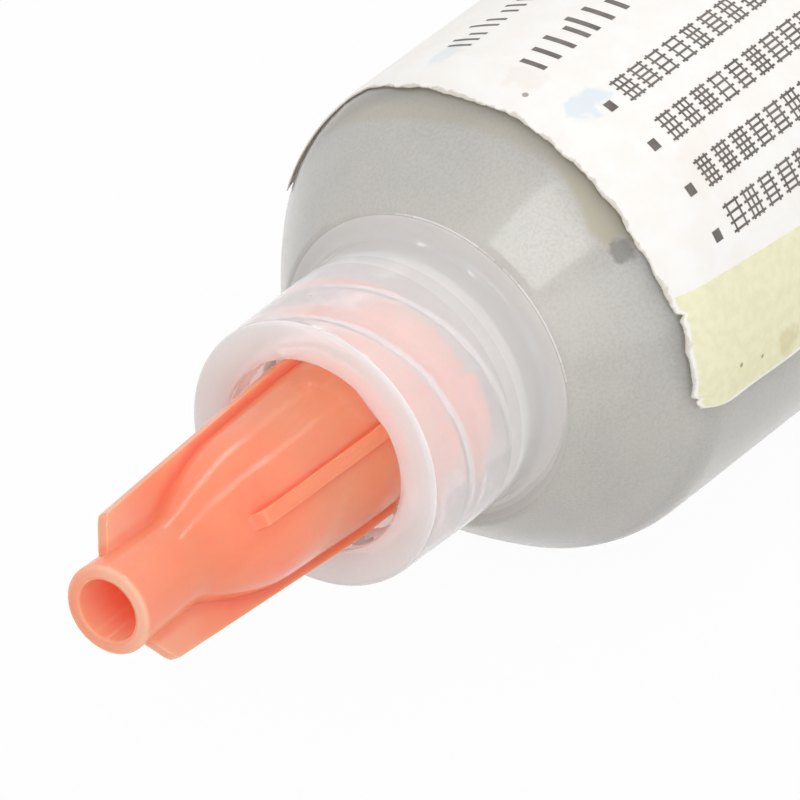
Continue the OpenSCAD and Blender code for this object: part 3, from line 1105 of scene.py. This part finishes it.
@dataclass
class PasteFill:
    """The grey filling: a still part in spout and shoulder, and a column up to the piston.

    It reaches 0.02 mm into the wall, because paste wets the plastic and leaves no layer of air.
    """

    front: float = -1.5
    cavity_start: float = 7.78
    column_start: float = 12.44
    column_end: float = 57.321
    nose_height: float = 3.2
    radius: float = 8.02
    spout_radius: float = 1.22
    core: float = 0.3
    overlap: float = 0.2
    columns: int = 128
    stroke: float = 44.5

    def still_outline(self) -> np.ndarray:
        """Outline of the still part, from the spout's opening to the start of the tube."""
        back = self.column_start + self.overlap
        return rounded_outline([
            (self.front, self.core, 0.0, 0.5),
            (self.front, self.spout_radius, 0.1, 1.0),
            (self.cavity_start, self.spout_radius, 0.1, 0.5),
            (self.cavity_start, 5.0, 0.28, 0.5),
            (12.09, self.radius, 0.3, 0.2),
            (self.column_start, self.radius, 0.0, 1.0),
            (back, self.radius - self.overlap, 0.0, 1.0),
            (back, self.core, 0.0, 1.0)], closed=False)

    def column_outline(self) -> np.ndarray:
        """Outline of the column, hollowed at its back by the piston's domed nose.

        The hollow is station = end + height * (1 - cos(a)), radius = R * sin(a).

        Returns:
            Rows of station and radius.
        """
        a = np.linspace(np.pi / 2, 0.05, 14)
        dome = np.stack([self.column_end + self.nose_height * (1 - np.cos(a)),
                         self.radius * np.sin(a)], axis=-1)
        wall = rounded_outline([
            (self.column_start, self.core, 0.0, 1.0),
            (self.column_start, self.radius, 0.0, 2.0),
            (dome[0, 0] - 0.3, self.radius, 0.0, 2.0)], closed=False)
        return np.vstack([wall, dome])

    def build(self, finish: Finish) -> list[Piece]:
        """Builds both parts, and gives the column a mesh of its own.

        Args:
            finish: the paste's finish.

        Returns:
            The still part and the column.
        """
        turns = even_turns(self.columns)
        material = finish.material()
        still, column = self.still_outline(), self.column_outline()
        pieces = []
        for name, outline, end in (("paste_in_shoulder", still, still[-1, 0]),
                                   ("paste_column", column, self.column_end)):
            piece = solid(name, *capped(turned_points(outline, turns), pole(outline[0, 0]), pole(end)))
            piece.data.materials.append(material)
            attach(piece, "barrel")
            pieces.append(piece)
        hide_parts("solder_paste")
        anchor = pole(self.column_start)
        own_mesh(pieces[1])
        return pieces


@dataclass(frozen=True)
class Blade:
    """A flat wing or rib that stands out of the cap's body."""

    turn: float
    half_thickness: float
    stations: tuple[float, ...]
    radii: tuple[float, ...]
    spread: float = 60.0
    limit: float = 6.0
    blend: float = 0.09
    wall_radii: tuple[float, float] = (3.75, 1.5)
    wall_lines: int = 34
    top_lines: int = 7

    def edge(self, station: np.ndarray) -> np.ndarray:
        """Radius of the blade's outer edge at each station."""
        return np.interp(station, self.stations, self.radii)

    def reach(self, station: np.ndarray, turns: np.ndarray) -> np.ndarray:
        """Outer radius of the blade: min(edge radius at the station, half thickness / |sin(d)|).

        Args:
            station: stations in millimetres.
            turns: turns in degrees; d is the turn away from the blade's middle.

        Returns:
            Radii, about 0 on the cap's other sides.
        """
        away = turn_away(turns, self.turn)
        wall = self.half_thickness / np.maximum(np.abs(np.sin(np.radians(away))), 1e-4)
        wall = np.where(np.abs(away) < self.spread, wall, 0.0)
        return soft_min(self.edge(station), np.minimum(wall, self.limit), self.blend)

    def columns(self) -> np.ndarray:
        """The grid lines that the blade needs, in even steps of radius along its walls.

        Returns:
            Their turns in degrees.
        """
        radii = np.linspace(*self.wall_radii, self.wall_lines)
        side = np.degrees(np.arcsin(self.half_thickness / radii))
        top = np.linspace(-side[0], side[0], self.top_lines)[1:-1]
        return self.turn + np.concatenate([-side[::-1], top, side])


@dataclass
class TipCap:
    """The orange cap: hollow stub, cone, body, two long wings, two short ribs, ring and lugs."""

    front: float = -12.43
    rim_radius: float = 1.3
    body_end: float = 2.9
    seat: float = 4.7
    wing_turn: float = -31.5
    wing_half: float = 0.225
    wing_stations: tuple[float, ...] = (-11.36, -11.33, -10.70, -10.50, 0.0, 2.22, 2.9)
    wing_radii: tuple[float, ...] = (0.0, 1.75, 2.62, 2.8, 3.34, 3.34, 2.95)
    rib_turn: float = 58.5
    rib_half: float = 0.28
    rib_stations: tuple[float, ...] = (-6.62, -6.58, -6.5, -6.36, -6.1, 0.0, 2.38, 2.9)
    rib_radii: tuple[float, ...] = (0.0, 2.5, 2.78, 2.92, 2.98, 3.26, 3.26, 2.95)
    lug_turn: float = 77.0
    lug_half_arc: float = 20.0
    lug_stations: tuple[float, float] = (3.8, 4.6)
    lug_radius: float = 3.88
    lug_margin: float = 0.8
    lug_turn_fade: float = 0.9
    lug_fade: float = 0.08
    lug_limits: tuple[float, float] = (3.5, 4.65)
    ring_radius: float = 3.45
    hole_floor: float = -6.83
    socket_floor: float = -3.3
    core: float = 0.2
    rim_rows: int = 7
    foot_radius: float = 2.9
    foot_width: float = 0.12
    foot_cosine: float = 0.3
    foot_step: float = 0.05
    foot_fade: float = 0.45
    standing_radius: float = 2.6
    standing_fade: float = 0.2
    proud_step: float = 0.12
    proud_fade: float = 0.3
    blade_blend: float = 0.08
    lit_turn: float = 60.0
    rim_depth: float = 0.3
    rim_light: float = 0.35
    rim_lit: float = 0.6
    stub_length: float = 3.0
    stub_light: float = 0.16
    blade_light: float = 0.45
    blade_light_end: float = -7.5
    blade_light_length: float = 4.0
    hole_depth: float = 2.2
    hole_light: float = 0.32
    hole_shade: float = 1.7
    thin_end: float = -8.0

    def blades(self) -> list[Blade]:
        """The two wings and the two ribs, each with its edge radius along the cap."""
        kinds = ((self.wing_turn, self.wing_half, self.wing_stations, self.wing_radii),
                 (self.rib_turn, self.rib_half, self.rib_stations, self.rib_radii))
        return [Blade(turn + side, *shape) for turn, *shape in kinds for side in (0.0, 180.0)]

    def turns(self) -> np.ndarray:
        """All grid lines round the cap, with no two closer than 0.02 degrees.

        Returns:
            Their turns in degrees, sorted.
        """
        ends = [self.lug_turn + side + sign * self.lug_half_arc + step
                for side in (0, 180) for sign in (-1, 1) for step in (-self.lug_margin, 0.0, self.lug_margin)]
        every_five = np.arange(0.0, 360.0, 5.0)
        lines = np.concatenate([blade.columns() for blade in self.blades()] + [every_five, ends])
        lines = np.unique(np.round(lines % 360.0, 2))
        return lines[np.append(True, np.diff(lines) > 0.02)]

    def body(self) -> np.ndarray:
        """Outside outline of the cap without blades, from the rim to the open end."""
        fine = 0.11
        return rounded_outline([
            (self.front, self.rim_radius, 0.0, fine),
            (self.front, 1.685, 0.2, fine),
            (-8.73, 1.61, 0.5, fine),
            (-6.93, 2.32, 0.8, fine),
            (-5.13, 2.78, 0.9, fine),
            (0.0, 3.0, 0.0, fine),
            (self.body_end, 3.0, 0.05, 0.08),
            (3.2, self.ring_radius, 0.06, 0.08),
            (self.seat, self.ring_radius, 0.08, 0.3)], closed=False, steps=5)

    def hole(self) -> np.ndarray:
        """Outline of the blind hole, from its floor out to the rim."""
        return rounded_outline([
            (self.hole_floor, self.core, 0.0, 0.4),
            (self.hole_floor, 0.95, 0.1, 0.5),
            (self.front, 1.16, 0.12, 0.5),
            (self.front, self.rim_radius, 0.0, 0.5)], closed=False, steps=5)

    def socket(self) -> np.ndarray:
        """Outline of the tapered socket, from the open end to its floor."""
        return rounded_outline([
            (self.seat, 2.6, 0.0, 0.5),
            (self.seat, 2.204, 0.08, 1.0),
            (self.socket_floor, 1.964, 0.1, 0.5),
            (self.socket_floor, self.core, 0.0, 0.5)], closed=False, steps=4)

    def foot(self, blade: Blade, station: np.ndarray, turns: np.ndarray, step: np.ndarray) -> np.ndarray:
        """The painted shade in the corner where a blade meets the body.

        exp(-(d / width) ^ 2), where d is the distance from the blade's wall in millimetres, and 0
        where the blade doesn't stand out.

        Args:
            blade: the blade.
            station: stations in millimetres.
            turns: turns in degrees.
            step: how far the blade stands out of the body.

        Returns:
            1 in the corner, 0 away from it.
        """
        away = np.radians(turn_away(turns, blade.turn))
        gap = np.abs(np.sin(away)) * self.foot_radius - blade.half_thickness
        stands = smooth_step((blade.edge(station) - self.standing_radius) / self.standing_fade)
        near = np.exp(-(gap / self.foot_width) ** 2) * (np.cos(away) > self.foot_cosine)
        return near * stands * (1.0 - smooth_step((step - self.foot_step) / self.foot_fade))

    def lugs(self, station: np.ndarray, turns: np.ndarray) -> np.ndarray:
        """How far the lugs stand out of the ring.

        Args:
            station: stations in millimetres.
            turns: turns in degrees.

        Returns:
            Shares from 0 to 1.
        """
        start, end = self.lug_stations
        away = np.abs((turns - self.lug_turn + 90.0) % 180.0 - 90.0)
        arc = smooth_step((self.lug_half_arc - away) / self.lug_turn_fade + 0.5)
        rise = smooth_step((station - start) / self.lug_fade + 0.5)
        fall = smooth_step((end - station) / self.lug_fade + 0.5)
        return arc * rise * fall * between(station, *self.lug_limits)

    def outside(self, body: np.ndarray, turns: np.ndarray) -> tuple[np.ndarray, np.ndarray, np.ndarray]:
        """The outside with its blades: the soft max of the body and every blade, plus the lugs.

        Args:
            body: outline of the body.
            turns: the grid's turns.

        Returns:
            The radius, the painted shade in the corners at the blades' feet and how proud the blades stand.
        """
        station, base = body[:, :1], body[:, 1:]
        radius = np.broadcast_to(base, (len(body), len(turns)))
        past_rim = (np.arange(len(body)) >= self.rim_rows)[:, None]
        painted_shade = np.zeros_like(radius)
        proud = np.zeros_like(radius)
        for blade in self.blades():
            reach = blade.reach(station, turns[None, :])
            step = np.where(past_rim, reach - base, -1.0)
            painted_shade = np.maximum(painted_shade, self.foot(blade, station, turns[None, :], step))
            proud = np.maximum(proud, smooth_step((step - self.proud_step) / self.proud_fade))
            radius = np.where(past_rim, soft_max(radius, reach, self.blade_blend), radius)
        lugs = (self.lug_radius - self.ring_radius) * self.lugs(station, turns[None, :])
        return radius + lugs, painted_shade, proud

    def painted_light(self, station: np.ndarray, turns: np.ndarray, proud: np.ndarray) -> np.ndarray:
        """How much painted light the outside takes: the lit rim, the stub behind it, and the blades' front
        parts.

        Args:
            station: stations in millimetres.
            turns: turns in degrees.
            proud: how proud the blades stand.

        Returns:
            Shares from 0 to 1.
        """
        lit = smooth_step(0.5 + 0.5 * np.cos(np.radians(turns - self.lit_turn)))
        rim = smooth_step((self.front + self.rim_depth - station) / self.rim_depth)
        rim = rim * (self.rim_light + self.rim_lit * lit)
        stub = smooth_step((self.front + self.stub_length - station) / self.stub_length) * self.stub_light
        ahead = smooth_step((self.blade_light_end - station) / self.blade_light_length)
        blades = proud * ahead * self.blade_light
        return np.maximum(blades, np.maximum(rim, stub))

    def build(self, finish: Finish) -> Piece:
        """Builds the cap from the hole's floor, round the rim and back into the socket.

        Args:
            finish: the cap's finish.

        Returns:
            The cap.
        """
        turns, body, socket = self.turns(), self.body(), self.socket()
        hole = self.hole()[:-1]
        station = body[:, :1]
        radius, painted_shade, proud = self.outside(body, turns)
        rows = np.vstack([turned_points(hole, turns), place(station, radius, turns[None, :]),
                          turned_points(socket, turns)])
        # Painted shade deepens into the hole, and painted light pales its mouth.
        depth = smooth_step((hole[:, :1] - self.front) / self.hole_depth)
        rest = np.zeros(len(socket) * len(turns) + 2)
        marks = {name: np.concatenate([np.broadcast_to(inner, (len(hole), len(turns))).ravel(),
                                       np.broadcast_to(outer, radius.shape).ravel(), rest])
                 for name, inner, outer in (
                     ("painted_shade", self.hole_shade * depth, painted_shade),
                     ("painted_light", self.hole_light * (1.0 - depth), self.painted_light(station, turns[None, :], proud)),
                     ("thin", 1.0, smooth_step(self.thin_end - station)))}
        piece = solid("tip_cap_moulding", *capped(rows, pole(hole[0, 0]), pole(socket[-1, 0])),
                      marks=marks, crease=55.0)
        piece.data.materials.append(finish.material())
        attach(piece, "tip_cap")
        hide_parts("tip_cap")
        return piece


@dataclass
class Label:
    """The paper label and its print."""

    tube_radius: float = 9.2
    thickness: float = 0.12
    front: float = 10.5
    back: float = 62.0
    far: float = -74.5
    overhang: float = 12.2
    droop: float = 0.2
    edge_turns: tuple[float, ...] = (
        -76, -64, -48, -40, -32.6, -25.8, -10.4, 3.2, 17.8, 33.5, 49.4, 64.3, 72.8, 80.2, 87.5,
        90, 92, 94, 95.5)
    edge_stations: tuple[float, ...] = (
        11.2, 11.45, 12.0, 11.93, 11.55, 11.25, 10.9, 10.77, 10.63, 10.5, 10.37, 10.4, 10.62, 10.56, 10.6,
        10.56, 10.76, 11.0, 11.3)
    ripples: tuple[Triple, ...] = ((0.04, 4.0, 1), (0.03, 1.7, 2), (0.015, 0.45, 3))
    nicks: tuple[Triple, ...] = ((0.2, 69.5, 0.7), (0.14, 90.9, 0.4))
    near_stations: tuple[float, ...] = (10.5, 11.0, 11.7, 13.0, 14.2, 17.0, 40.0)
    near_turns: tuple[float, ...] = (93.6, 94.0, 94.6, 94.8, 95.3, 95.5, 95.2)
    near_wave: tuple[float, float] = (0.12, 1.7)
    ripple_turns: tuple[float, float] = (-90.0, 110.0)
    waves: Triple = (0.03, 7.0, 4)
    farthest_out: float = 3.0
    clearance: float = 0.01
    torn_length: float = 0.6
    close_rows: int = 26
    wide_rows: int = 22
    columns: int = 560
    lattice_rows: tuple[float, ...] = (21.8, 34.5, 46.9, 58.3)
    square_stations: tuple[float, float] = (13.2, 13.62)
    square_half: float = 1.3
    first_cell: float = 14.3
    cell_pitch: float = 1.12
    cells: int = 40
    cell_widths: tuple[float, float] = (0.86, 0.98)
    rung_levels: tuple[float, float] = (-4.1, 1.7)
    rung_half: float = 0.26
    post_shares: tuple[float, float] = (0.2, 0.8)
    post_levels: tuple[float, float] = (-4.7, 2.3)
    post_half: float = 0.04
    bar_rows: tuple[tuple[float, ...], ...] = (
        (13.3, 30.0, -5.2, 4.6, 0.26, 0.62),
        (13.9, 34.0, -25.0, -17.0, 0.13, 0.5))
    bar_shares: tuple[float, float] = (0.55, 1.0)
    bar_spacings: Triple = (1.0, 1.0, 1.5)
    strip: float = 1.6
    ink_bottom: float = 0.004
    ink_top: float = 0.016
    seed: int = 5

    def ripple(self, turn: np.ndarray, steps: float, salt: int) -> np.ndarray:
        """Uneven line from -1 to 1: random values every so many degrees, joined up.

        Args:
            turn: turns in degrees.
            steps: degrees from one random value to the next.
            salt: number that sets this line apart from the others.

        Returns:
            Height of the line at each turn.
        """
        first, last = self.ripple_turns
        dice = np.random.default_rng(self.seed + salt)
        values = dice.uniform(-1.0, 1.0, int((last - first) / steps) + 2)
        return np.interp((turn - first) / steps, np.arange(len(values)), values)

    def front_edge(self, turn: np.ndarray) -> np.ndarray:
        """The worn front edge: the measured line, three ripples and two nicks.

        Each ripple has a size, a spacing in degrees and a salt. Each nick is
        depth * exp(-((turn - middle) / width) ^ 2).

        Args:
            turn: turns in degrees.

        Returns:
            Station of the edge at each turn.
        """
        edge = np.interp(turn, self.edge_turns, self.edge_stations)
        for size, spacing, salt in self.ripples:
            edge = edge + size * self.ripple(turn, spacing, salt)
        return edge + sum(depth * np.exp(-((turn - middle) / width) ** 2)
                          for depth, middle, width in self.nicks)

    def near_edge(self, station: np.ndarray) -> np.ndarray:
        """Turn of the lower edge at each station: the measured line plus a slow wave."""
        size, pace = self.near_wave
        return np.interp(station, self.near_stations, self.near_turns) + size * np.sin(station * pace)

    def radius(self, station: np.ndarray, turn: np.ndarray) -> np.ndarray:
        """Radius of the paper's inner face.

        It lies on the tube, bends in by droop * d ^ 2 where it stands out over the shoulder by
        d, and waves a little there.

        Args:
            station: stations in millimetres.
            turn: turns in degrees.

        Returns:
            Radii in millimetres.
        """
        size, spacing, salt = self.waves
        out = np.clip(self.overhang - station, 0.0, self.farthest_out)
        waves = size * self.ripple(turn, spacing, salt) * out
        return self.tube_radius + self.clearance - self.droop * out ** 2 + waves

    def paper(self, edge: np.ndarray) -> np.ndarray:
        """Thickness of the paper: 0.35 of the whole at the torn front edge, and the whole behind it."""
        return self.thickness * (0.35 + 0.65 * smooth_step(edge / self.torn_length))

    def sheet(self, u: np.ndarray, v: np.ndarray) -> tuple[np.ndarray, np.ndarray]:
        """Station and turn at the sheet's own coordinates.

        turn = far + (near edge - far) * v, station = front edge + (back - front edge) * u.

        Args:
            u: shares of the way from the front edge to the back.
            v: shares of the way from the far edge to the near one.

        Returns:
            The stations and the turns.
        """
        rough = self.front + (self.back - self.front) * u
        turn = self.far + (self.near_edge(rough) - self.far) * v
        edge = self.front_edge(turn)
        return edge + (self.back - edge) * u, turn

    def build_paper(self, finish: Finish) -> Piece:
        """Builds the sheet as one closed shell: outer face, back edge, inner face, front edge.

        The rows up to 0.12 of the length lie closer together, the more so the nearer the front.

        Args:
            finish: the paper's finish.

        Returns:
            The sheet.
        """
        close = np.linspace(0.0, 1.0, self.close_rows) ** 2.2 * 0.12
        u = np.concatenate([close, np.linspace(0.14, 1.0, self.wide_rows)])[:, None]
        v = np.linspace(0.0, 1.0, self.columns)[None, :]
        station, turn = self.sheet(u, v)
        inner = self.radius(station, turn)
        edge = station - self.front_edge(turn)
        border = self.near_edge(station) - turn
        shell = np.vstack([inner + self.paper(edge), inner[::-1]])
        stations, turns = there_and_back(station), there_and_back(turn)
        rows, columns = shell.shape
        i = np.arange(rows // 2 - 1)
        side = np.stack([i, i + 1, rows - 2 - i, rows - 1 - i], axis=-1) * columns
        quads = np.vstack([lattice(rows, columns, True, False), side, side[:, ::-1] + columns - 1])
        piece = solid("label_paper", place(stations, shell, turns), quads,
                      wrap=np.stack([stations, turns], axis=-1) / 100.0,
                      marks={"edge": there_and_back(edge), "border": there_and_back(border)})
        piece.data.materials.append(finish.material())
        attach(piece, "barrel")
        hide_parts("label")
        return piece

    def bars(self) -> np.ndarray:
        """Rectangles of print: four rows of small lattices, each behind a square, and two of bars.

        A row of bars has its first and last station, its low and high turn, a thickness and a pitch.

        Returns:
            First station, last station, first turn and last turn of each rectangle.
        """
        dice = np.random.default_rng(self.seed)
        boxes = []
        for row in self.lattice_rows:
            boxes.append((*self.square_stations, row - self.square_half, row + self.square_half))
            for start in self.first_cell + self.cell_pitch * np.arange(self.cells):
                width = dice.uniform(*self.cell_widths)
                for level in row + np.linspace(*self.rung_levels, dice.integers(4, 6)):
                    boxes.append((start, start + width, level - self.rung_half, level + self.rung_half))
                for side in start + np.linspace(*self.post_shares, dice.integers(2, 4)) * width:
                    boxes.append((side - self.post_half, side + self.post_half,
                                  *(row + level for level in self.post_levels)))
        for station, last, low, high, thick, pitch in self.bar_rows:
            while station < last:
                tall = dice.uniform(*self.bar_shares)
                boxes.append((station, station + thick, high - (high - low) * tall, high))
                station += pitch * dice.choice(self.bar_spacings)
        return np.array(boxes)

    def build_print(self, finish: Finish) -> Piece:
        """Lays the rectangles on the paper as thin closed slabs, in strips that follow its curve.

        Args:
            finish: the print's finish.

        Returns:
            The print.
        """
        boxes = self.bars()
        parts = np.maximum(np.ceil((boxes[:, 3] - boxes[:, 2]) / self.strip), 1).astype(int)
        within = np.arange(parts.sum()) - np.repeat(np.cumsum(parts) - parts, parts)
        start, end, bottom, top = boxes[np.repeat(np.arange(len(boxes)), parts)].T
        height = (top - bottom) / np.repeat(parts, parts)
        low = bottom + height * within
        stations = np.stack([start, end, end, start], axis=-1)
        turns = np.stack([low, low, low + height, low + height], axis=-1)
        base = self.radius(stations, turns) + self.thickness
        lifts = (self.ink_bottom, self.ink_top)
        points = np.concatenate([place(stations, base + lift, turns) for lift in lifts], axis=1)
        block = np.array([[0, 3, 2, 1], [4, 5, 6, 7], [0, 1, 5, 4], [1, 2, 6, 5], [2, 3, 7, 6], [3, 0, 4, 7]])
        quads = (8 * np.arange(len(low))[:, None, None] + block[None]).reshape(-1, 4)
        piece = solid("label_print", points, quads, crease=20.0)
        piece.data.materials.append(finish.material())
        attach(piece, "barrel")
        return piece


@dataclass
class PistonAndRod:
    """The piston and the plunger rod, whose solids have the right shape and get a finish."""

    nodes: tuple[str, ...] = ("piston", "plunger_rod")

    def dress(self, finish: Finish) -> None:
        """Gives both solids the white plastic."""
        material = finish.material()
        for name in self.nodes:
            for material_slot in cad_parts[name].material_slots:
                material_slot.material = material


# Studio

WHITE = (1.0, 1.0, 1.0, 1.0)


@dataclass(frozen=True)
class SoftBox:
    """An oblong lamp: the way to it, the way that its length runs, its length, width and power."""

    name: str
    direction: Triple
    along: Triple
    length: float
    width: float
    power: float


@dataclass
class Studio:
    """Camera, floor, world and lamps."""

    eye: Triple = (-0.389939, -0.222888, 0.245283)
    gaze: Triple = (0.71514, 0.47981, -0.50829)
    lens: float = 600.0
    target: Triple = (-0.055, 0.0, 0.0096)
    floor_side: float = 1.5
    floor_drop: float = 0.00005
    floor_grey: float = 0.72
    shown_floor: float = 0.965
    lamps: tuple[SoftBox, ...] = (
        SoftBox("lamp_front", (-0.42, -0.40, 0.81), (-0.09, -0.87, -0.48), 0.30, 0.10, 0.36),
        SoftBox("strip_far", (0.33, 0.46, 0.80), (1.0, 0.0, -0.41), 0.34, 0.045, 0.22),
        SoftBox("strip_near", (0.33, -0.16, 0.91), (1.0, 0.0, -0.36), 0.34, 0.045, 0.22),
        SoftBox("fill_near", (-0.50, -0.85, 0.15), (0.86, -0.51, 0.0), 0.50, 0.40, 0.62))
    lamp_distance: float = 0.5
    world_level: float = 0.80

    def build_camera(self) -> None:
        """Sets the camera where the photograph was taken from."""
        data = bpy.data.cameras.new("camera")
        data.lens, data.sensor_width = self.lens, 36.0
        data.clip_start, data.clip_end = 0.01, 10.0
        camera = linked("camera", data)
        camera.location = self.eye
        camera.rotation_euler = Vector(self.gaze).to_track_quat("-Z", "Y").to_euler()
        bpy.context.scene.camera = camera

    def build_floor(self) -> None:
        """Lays a wide pale floor that shows nearly white and keeps the soft shadow."""
        side = self.floor_side
        mesh = bpy.data.meshes.new("floor")
        corners = [(-side, -side, 0), (side, -side, 0), (side, side, 0), (-side, side, 0)]
        mesh.from_pydata(corners, [], [(0, 1, 2, 3)])
        floor = linked("floor", mesh)
        floor.location.z = -self.floor_drop
        material = bpy.data.materials.new("pale floor")
        graph = Graph(emptied(material))
        grey = self.floor_grey
        cloth = graph.add("BsdfDiffuse", {"Color": (grey, grey, grey, 1.0)})
        glow = graph.add("Emission", {"Color": WHITE, "Strength": 1.0})
        share = graph.times(graph.rays("Camera", "Glossy", "Transmission"), self.shown_floor)
        mixed = graph.add("MixShader", {0: share, 1: cloth.outputs[0], 2: glow.outputs[0]})
        graph.add("OutputMaterial", {"Surface": mixed.outputs[0]})
        mesh.materials.append(material)

    def build_world(self) -> None:
        """A white world to look at, which lights the object less strongly."""
        world = bpy.data.worlds.new("soft room")
        graph = Graph(emptied(world))
        seen = graph.rays("Camera", "Glossy", "Transmission")
        level = graph.math("MULTIPLY_ADD", seen, 1.0 - self.world_level, self.world_level)
        sky = graph.add("Background", {"Color": WHITE, "Strength": level})
        graph.add("OutputWorld", {"Surface": sky.outputs[0]})
        bpy.context.scene.world = world

    def build_lamps(self) -> None:
        """Hangs the soft boxes round the object, each one facing it."""
        target = Vector(self.target)
        for box in self.lamps:
            data = bpy.data.lights.new(box.name, "AREA")
            data.shape, data.size, data.size_y, data.energy = "RECTANGLE", box.length, box.width, box.power
            away = Vector(box.direction).normalized()
            side = away.cross(Vector(box.along)).normalized()
            lamp = linked(box.name, data)
            lamp.location = target + away * self.lamp_distance
            lamp.rotation_euler = Matrix((side.cross(away), side, away)).transposed().to_euler()

    def build(self) -> None:
        """Builds the whole studio."""
        self.build_camera()
        self.build_floor()
        self.build_world()
        self.build_lamps()
        bpy.context.scene.view_settings.view_transform = "Standard"


# Besides their own parts of the wall, the milkier finishes serve as painted highlights and painted light, and
# the side and denser ones as painted shade on the neck.
BARREL_FINISHES = {
    Wall.SHELL: MilkyPlastic("milky polypropylene", clear=0.66, roughness=0.12, let_in=0.45, grain=0.3),
    Wall.SIDE: MilkyPlastic("milky polypropylene, side", (254, 248, 251), (251, 244, 247),
                            clear=0.62, roughness=0.1),
    Wall.BORE: MilkyPlastic("milky polypropylene, bore", clear=0.72, roughness=0.1),
    Wall.THICK: MilkyPlastic("milky polypropylene, thick", (254, 253, 254), (252, 250, 251),
                             clear=0.28, roughness=0.12),
    Wall.DENSER_AND_PAINTED_LIGHT: MilkyPlastic("milky polypropylene, denser", (254, 249, 250), (251, 245, 246),
                              clear=0.54, roughness=0.1),
    Wall.DENSEST_AND_PAINTED_LIGHT: MilkyPlastic("milky polypropylene, densest", (254, 250, 250), (251, 246, 246),
                               clear=0.46, roughness=0.1)}


def main() -> None:
    """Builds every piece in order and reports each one."""
    logging.basicConfig(level=logging.INFO, format="%(name)s: %(message)s")
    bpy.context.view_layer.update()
    Studio().build()
    log.info("studio built")
    made = [Barrel().build([BARREL_FINISHES[wall] for wall in Wall])]
    made += PasteFill().build(GreyPaste("grey solder paste"))
    made.append(TipCap().build(OrangePlastic("orange polyethylene")))
    label = Label()
    made.append(label.build_paper(LabelPaper("worn label paper")))
    made.append(label.build_print(PrintInk("dark print")))
    PistonAndRod().dress(WhitePlastic("white plastic"))
    for piece in made:
        log.info("%s: %d faces", piece.name, len(piece.data.polygons))


if __name__ == "__main__":
    main()
